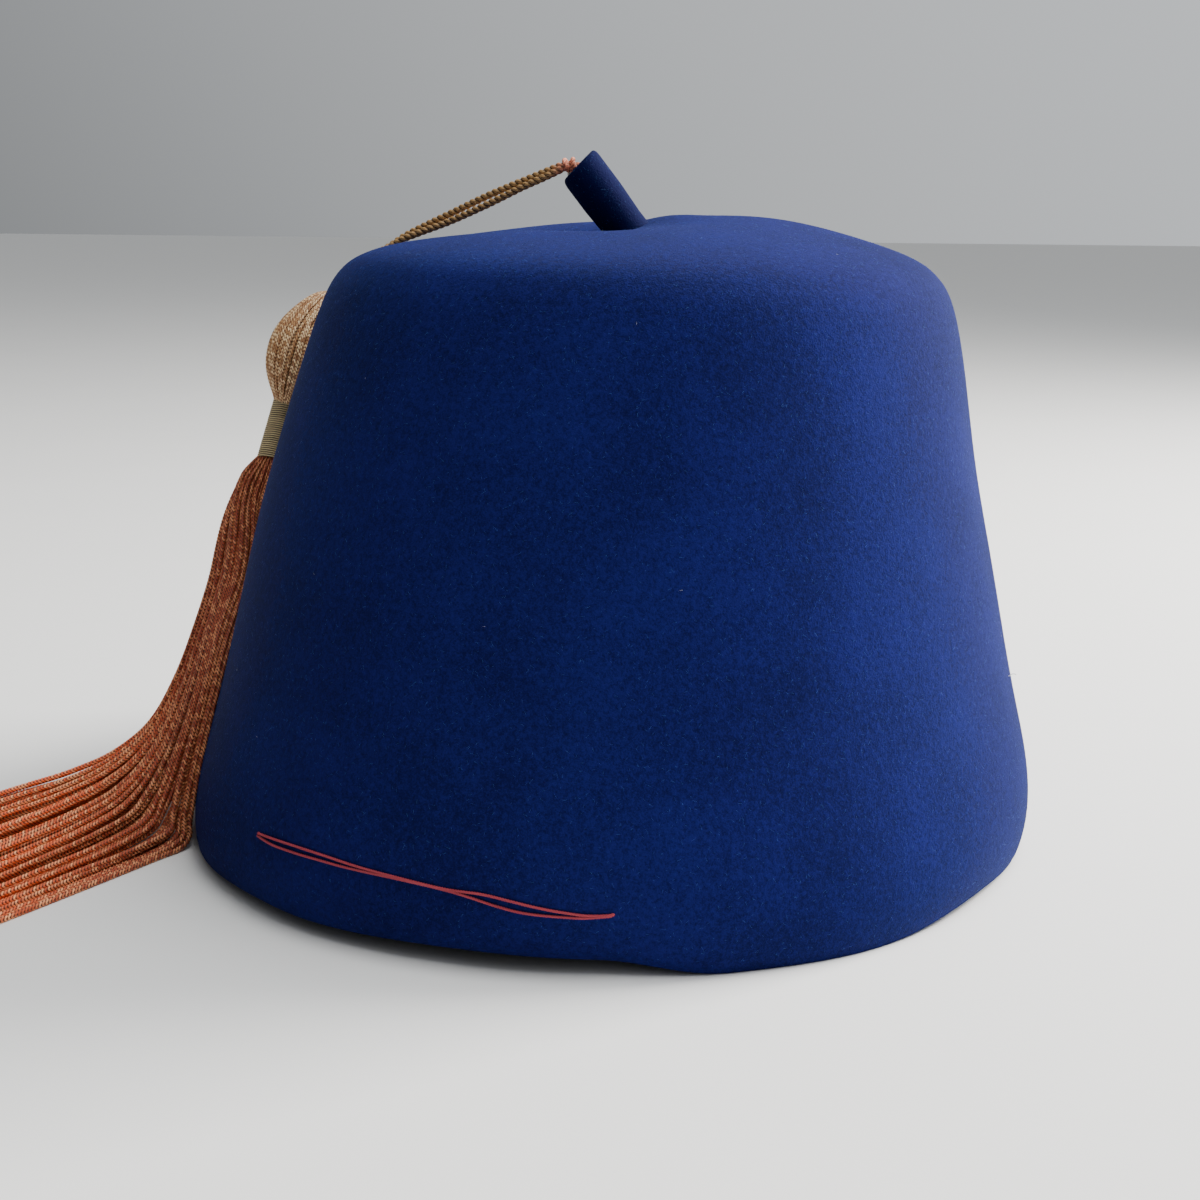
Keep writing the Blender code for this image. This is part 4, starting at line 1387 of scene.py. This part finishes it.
def build_stage(settings):
    """Plain pale floor and soft studio light."""
    shape = bmesh.new()
    corners = ((-1, -1), (1, -1), (1, 1), (-1, 1))
    shape.faces.new([shape.verts.new((x * FLOOR_REACH, y * FLOOR_REACH, 0)) for x, y in corners])
    mesh = bpy.data.meshes.new("floor")
    shape.to_mesh(mesh)
    shape.free()
    floor = bpy.data.objects.new("floor", mesh)
    pale = tuple(settings.floor_colour)
    mesh.materials.append(plain_material("floor_card", pale, tuple(1.03 * c for c in pale), 0.75, 14.0, 0.0))
    bpy.context.scene.collection.objects.link(floor)
    world = bpy.data.worlds.new("studio")
    world.use_nodes = True
    sky = Tree(world.node_tree)
    place = sky.node("ShaderNodeTexCoord", out="Generated")
    towards = sky.vector("DOT_PRODUCT", place, SKY_BRIGHT_WAY, out=1)
    level = sky.node("ShaderNodeMapRange", {"interpolation_type": "SMOOTHSTEP"}, {
        0: towards,
        1: -0.35,
        2: 1.0,
        3: SKY_DARKEST * settings.sky_strength,
        4: settings.sky_strength,
    })
    background = world.node_tree.nodes["Background"]
    background.inputs["Color"].default_value = SKY_COLOUR
    sky.nodes.links.new(level.socket, background.inputs["Strength"])
    bpy.context.scene.world = world
    area_light("key", KEY_PLACE, (0.02, 0.0, 0.06), (0.45, 0.45), settings.key_power, (1.0, 0.98, 0.95))
    power = settings.overhead_power
    area_light("overhead", OVERHEAD_PLACE, (0.0, 0.0, 0.0), (0.8, 0.7), power, (0.97, 0.99, 1.0))


# Settings, operators and panel


def colour(name, text, value):
    """A colour property."""
    return bpy.props.FloatVectorProperty(
        name=name, description=text, default=value, size=3, min=0.0, max=1.0, subtype="COLOR",
    )


def length(name, text, value):
    """A length property."""
    return bpy.props.FloatProperty(
        name=name, description=text, default=value, min=0.0, precision=5, unit="LENGTH", subtype="DISTANCE",
    )


def amount(name, text, value):
    """A number that isn't below zero."""
    return bpy.props.FloatProperty(name=name, description=text, default=value, min=0.0)


def whole(name, text, value, low, high):
    """A whole number."""
    return bpy.props.IntProperty(name=name, description=text, default=value, min=low, max=high)


class FezFeltSettings(bpy.types.PropertyGroup):
    """Finish of the felt."""
    felt_colour: colour("Felt", "Colour in the hollows of the felt", (0.0010, 0.0018, 0.036))
    felt_light: colour("Felt, raised", "Colour of the raised wool", (0.0056, 0.0082, 0.112))
    stem_colour: colour("Stem", "Darker colour of the rolled stem", (0.0010, 0.0024, 0.036))
    nap_colour: colour("Nap", "Colour of the loose nap", (0.10, 0.24, 0.60))
    nap_length: length("Nap length", "Length of the short fibres", 0.0009)
    nap_density: amount("Nap density", "Fibres per square metre", 170000.0)
    lint_density: amount("Lint density", "Lint fibres per square metre", 420.0)


class FezCordSettings(bpy.types.PropertyGroup):
    """Finish of the cords."""
    cord_shade: colour("Cord, inside", "Colour where the plies meet", (0.030, 0.012, 0.006))
    cord_light: colour("Cord", "Colour of the plies", (0.33, 0.195, 0.075))
    knot_colour: colour("Cord at the stem", "Colour of the cords near the stem", (0.62, 0.20, 0.12))
    knot_shade: colour("Knot, inside", "Colour in the folds of the knot", (0.20, 0.045, 0.025))
    cord_twist: length("Twist", "Length of one full turn of a ply", 0.0031)


class FezTasselSettings(bpy.types.PropertyGroup):
    """Sizes and finish of the tassel."""
    strand_width: length("Strand", "Width of a knitted strand", 0.00133)
    stitch_pitch: length("Stitch", "Length of one stitch", 0.00085)
    skirt_strands: whole("Skirt strands", "Strands in the skirt", 64, 8, 80)
    bulb_strands: whole("Bulb strands", "Strands over the bulb", 44, 12, 56)
    # Painted shade between the stitches, also the colour of the bulb's core.
    gap_shade_colour: colour("Gaps", "Colour between the stitches", (0.055, 0.012, 0.006))
    # The skirt's yarn as darkened by the painted shade of the hat; below it, the painted lit colour of the
    # strands' ends on the floor.
    shaded_strand_colour: colour("Strands", "Colour of the skirt's yarn", (0.34, 0.056, 0.020))
    lit_end_colour: colour("Strands' ends", "Colour of the strands on the floor", (1.0, 0.150, 0.032))
    bulb_gap_shade: colour("Bulb's gaps", "Colour between the stitches of the bulb", (0.13, 0.022, 0.010))
    bulb_gold_and_highlight: colour("Bulb's bright stitches", "Colour of the bulb's brightest stitches", (1.0, 0.74, 0.42))
    bulb_colour: colour("Bulb", "Colour of the bulb's yarn", (0.46, 0.235, 0.088))
    gold_and_highlight_colour: colour("Bright stitches", "Colour of the brightest stitches", (1.0, 0.44, 0.19))
    thread_shade: colour("Neck thread, gaps", "Colour between the turns", (0.055, 0.038, 0.018))
    thread_light: colour("Neck thread", "Colour of the wound thread", (0.66, 0.53, 0.31))


class FezThreadSettings(bpy.types.PropertyGroup):
    """Finish of the tacking thread."""
    red_shade: colour("Thread, inside", "Colour where the plies meet", (0.07, 0.006, 0.010))
    red_light: colour("Thread", "Colour of the red thread", (0.34, 0.036, 0.060))


class FezStageSettings(bpy.types.PropertyGroup):
    """Floor and light."""
    floor_colour: colour("Floor", "Colour of the floor", (0.78, 0.77, 0.75))
    key_power: amount("Key light", "Power of the main light", 30.0)
    overhead_power: amount("Overhead light", "Power of the large light overhead", 19.0)
    sky_strength: amount("Sky", "Strength of the brightest part of the sky", 0.95)


def shown_crown():
    """The crown that the other pieces lie on."""
    found = bpy.data.objects.get("felt_crown")
    if found is None:
        raise RuntimeError("build the felt first")
    return found


class FEZ_OT_camera(bpy.types.Operator):
    """Place the camera at the photograph's angle"""
    bl_idname = "fez.camera"
    bl_label = "Camera"

    def execute(self, context):
        build_camera()
        return {"FINISHED"}


class FEZ_OT_cords(bpy.types.Operator):
    """Lay the two twisted cords"""
    bl_idname = "fez.cords"
    bl_label = "Cords"

    def execute(self, context):
        build_cords(context.scene.fez_cords)
        build_knot(context.scene.fez_cords)
        return {"FINISHED"}


class FEZ_OT_felt(bpy.types.Operator):
    """Build the felt crown and stem with their nap"""
    bl_idname = "fez.felt"
    bl_label = "Felt"

    def execute(self, context):
        settings = context.scene.fez_felt
        crown = build_crown(settings)
        build_nap(settings, crown, build_stem(settings, crown))
        build_lint(settings, crown)
        return {"FINISHED"}


class FEZ_OT_tassel(bpy.types.Operator):
    """Build the knitted bulb, the wound neck and the skirt"""
    bl_idname = "fez.tassel"
    bl_label = "Tassel"

    def execute(self, context):
        settings = context.scene.fez_tassel
        build_bulb(settings)
        build_winding(settings)
        build_skirt(settings)
        return {"FINISHED"}


class FEZ_OT_thread(bpy.types.Operator):
    """Lay the red tacking thread over the front"""
    bl_idname = "fez.thread"
    bl_label = "Tacking thread"

    def execute(self, context):
        build_tacking_thread(context.scene.fez_thread, shown_crown())
        return {"FINISHED"}


class FEZ_OT_stage(bpy.types.Operator):
    """Make the floor and the lights"""
    bl_idname = "fez.stage"
    bl_label = "Stage"

    def execute(self, context):
        build_stage(context.scene.fez_stage)
        return {"FINISHED"}


class FEZ_PT_panel(bpy.types.Panel):
    """The hat's pieces in the sidebar"""
    bl_label = "Fez"
    bl_idname = "FEZ_PT_panel"
    bl_space_type = "VIEW_3D"
    bl_region_type = "UI"
    bl_category = "Fez"

    def draw(self, context):
        for kind in OPERATORS:
            self.layout.operator(kind.bl_idname)
        for name, kind in SETTINGS:
            box = self.layout.box()
            for key in kind.__annotations__:
                box.prop(getattr(context.scene, name), key)


OPERATORS = (FEZ_OT_camera, FEZ_OT_cords, FEZ_OT_felt, FEZ_OT_tassel, FEZ_OT_thread, FEZ_OT_stage)
SETTINGS = (
    ("fez_felt", FezFeltSettings),
    ("fez_cords", FezCordSettings),
    ("fez_tassel", FezTasselSettings),
    ("fez_thread", FezThreadSettings),
    ("fez_stage", FezStageSettings),
)


def register():
    """Register the classes and hang the settings on the scene."""
    for name, kind in SETTINGS:
        bpy.utils.register_class(kind)
        setattr(bpy.types.Scene, name, bpy.props.PointerProperty(type=kind))
    for kind in OPERATORS + (FEZ_PT_panel,):
        bpy.utils.register_class(kind)


def unregister():
    """Take the classes and the settings away again."""
    for kind in (FEZ_PT_panel,) + OPERATORS:
        bpy.utils.unregister_class(kind)
    for name, kind in SETTINGS:
        delattr(bpy.types.Scene, name)
        bpy.utils.unregister_class(kind)


def main():
    """Build everything."""
    register()
    bpy.ops.fez.camera()
    bpy.ops.fez.cords()
    bpy.ops.fez.felt()
    bpy.ops.fez.tassel()
    bpy.ops.fez.thread()
    bpy.ops.fez.stage()


if __name__ == "__main__":
    main()
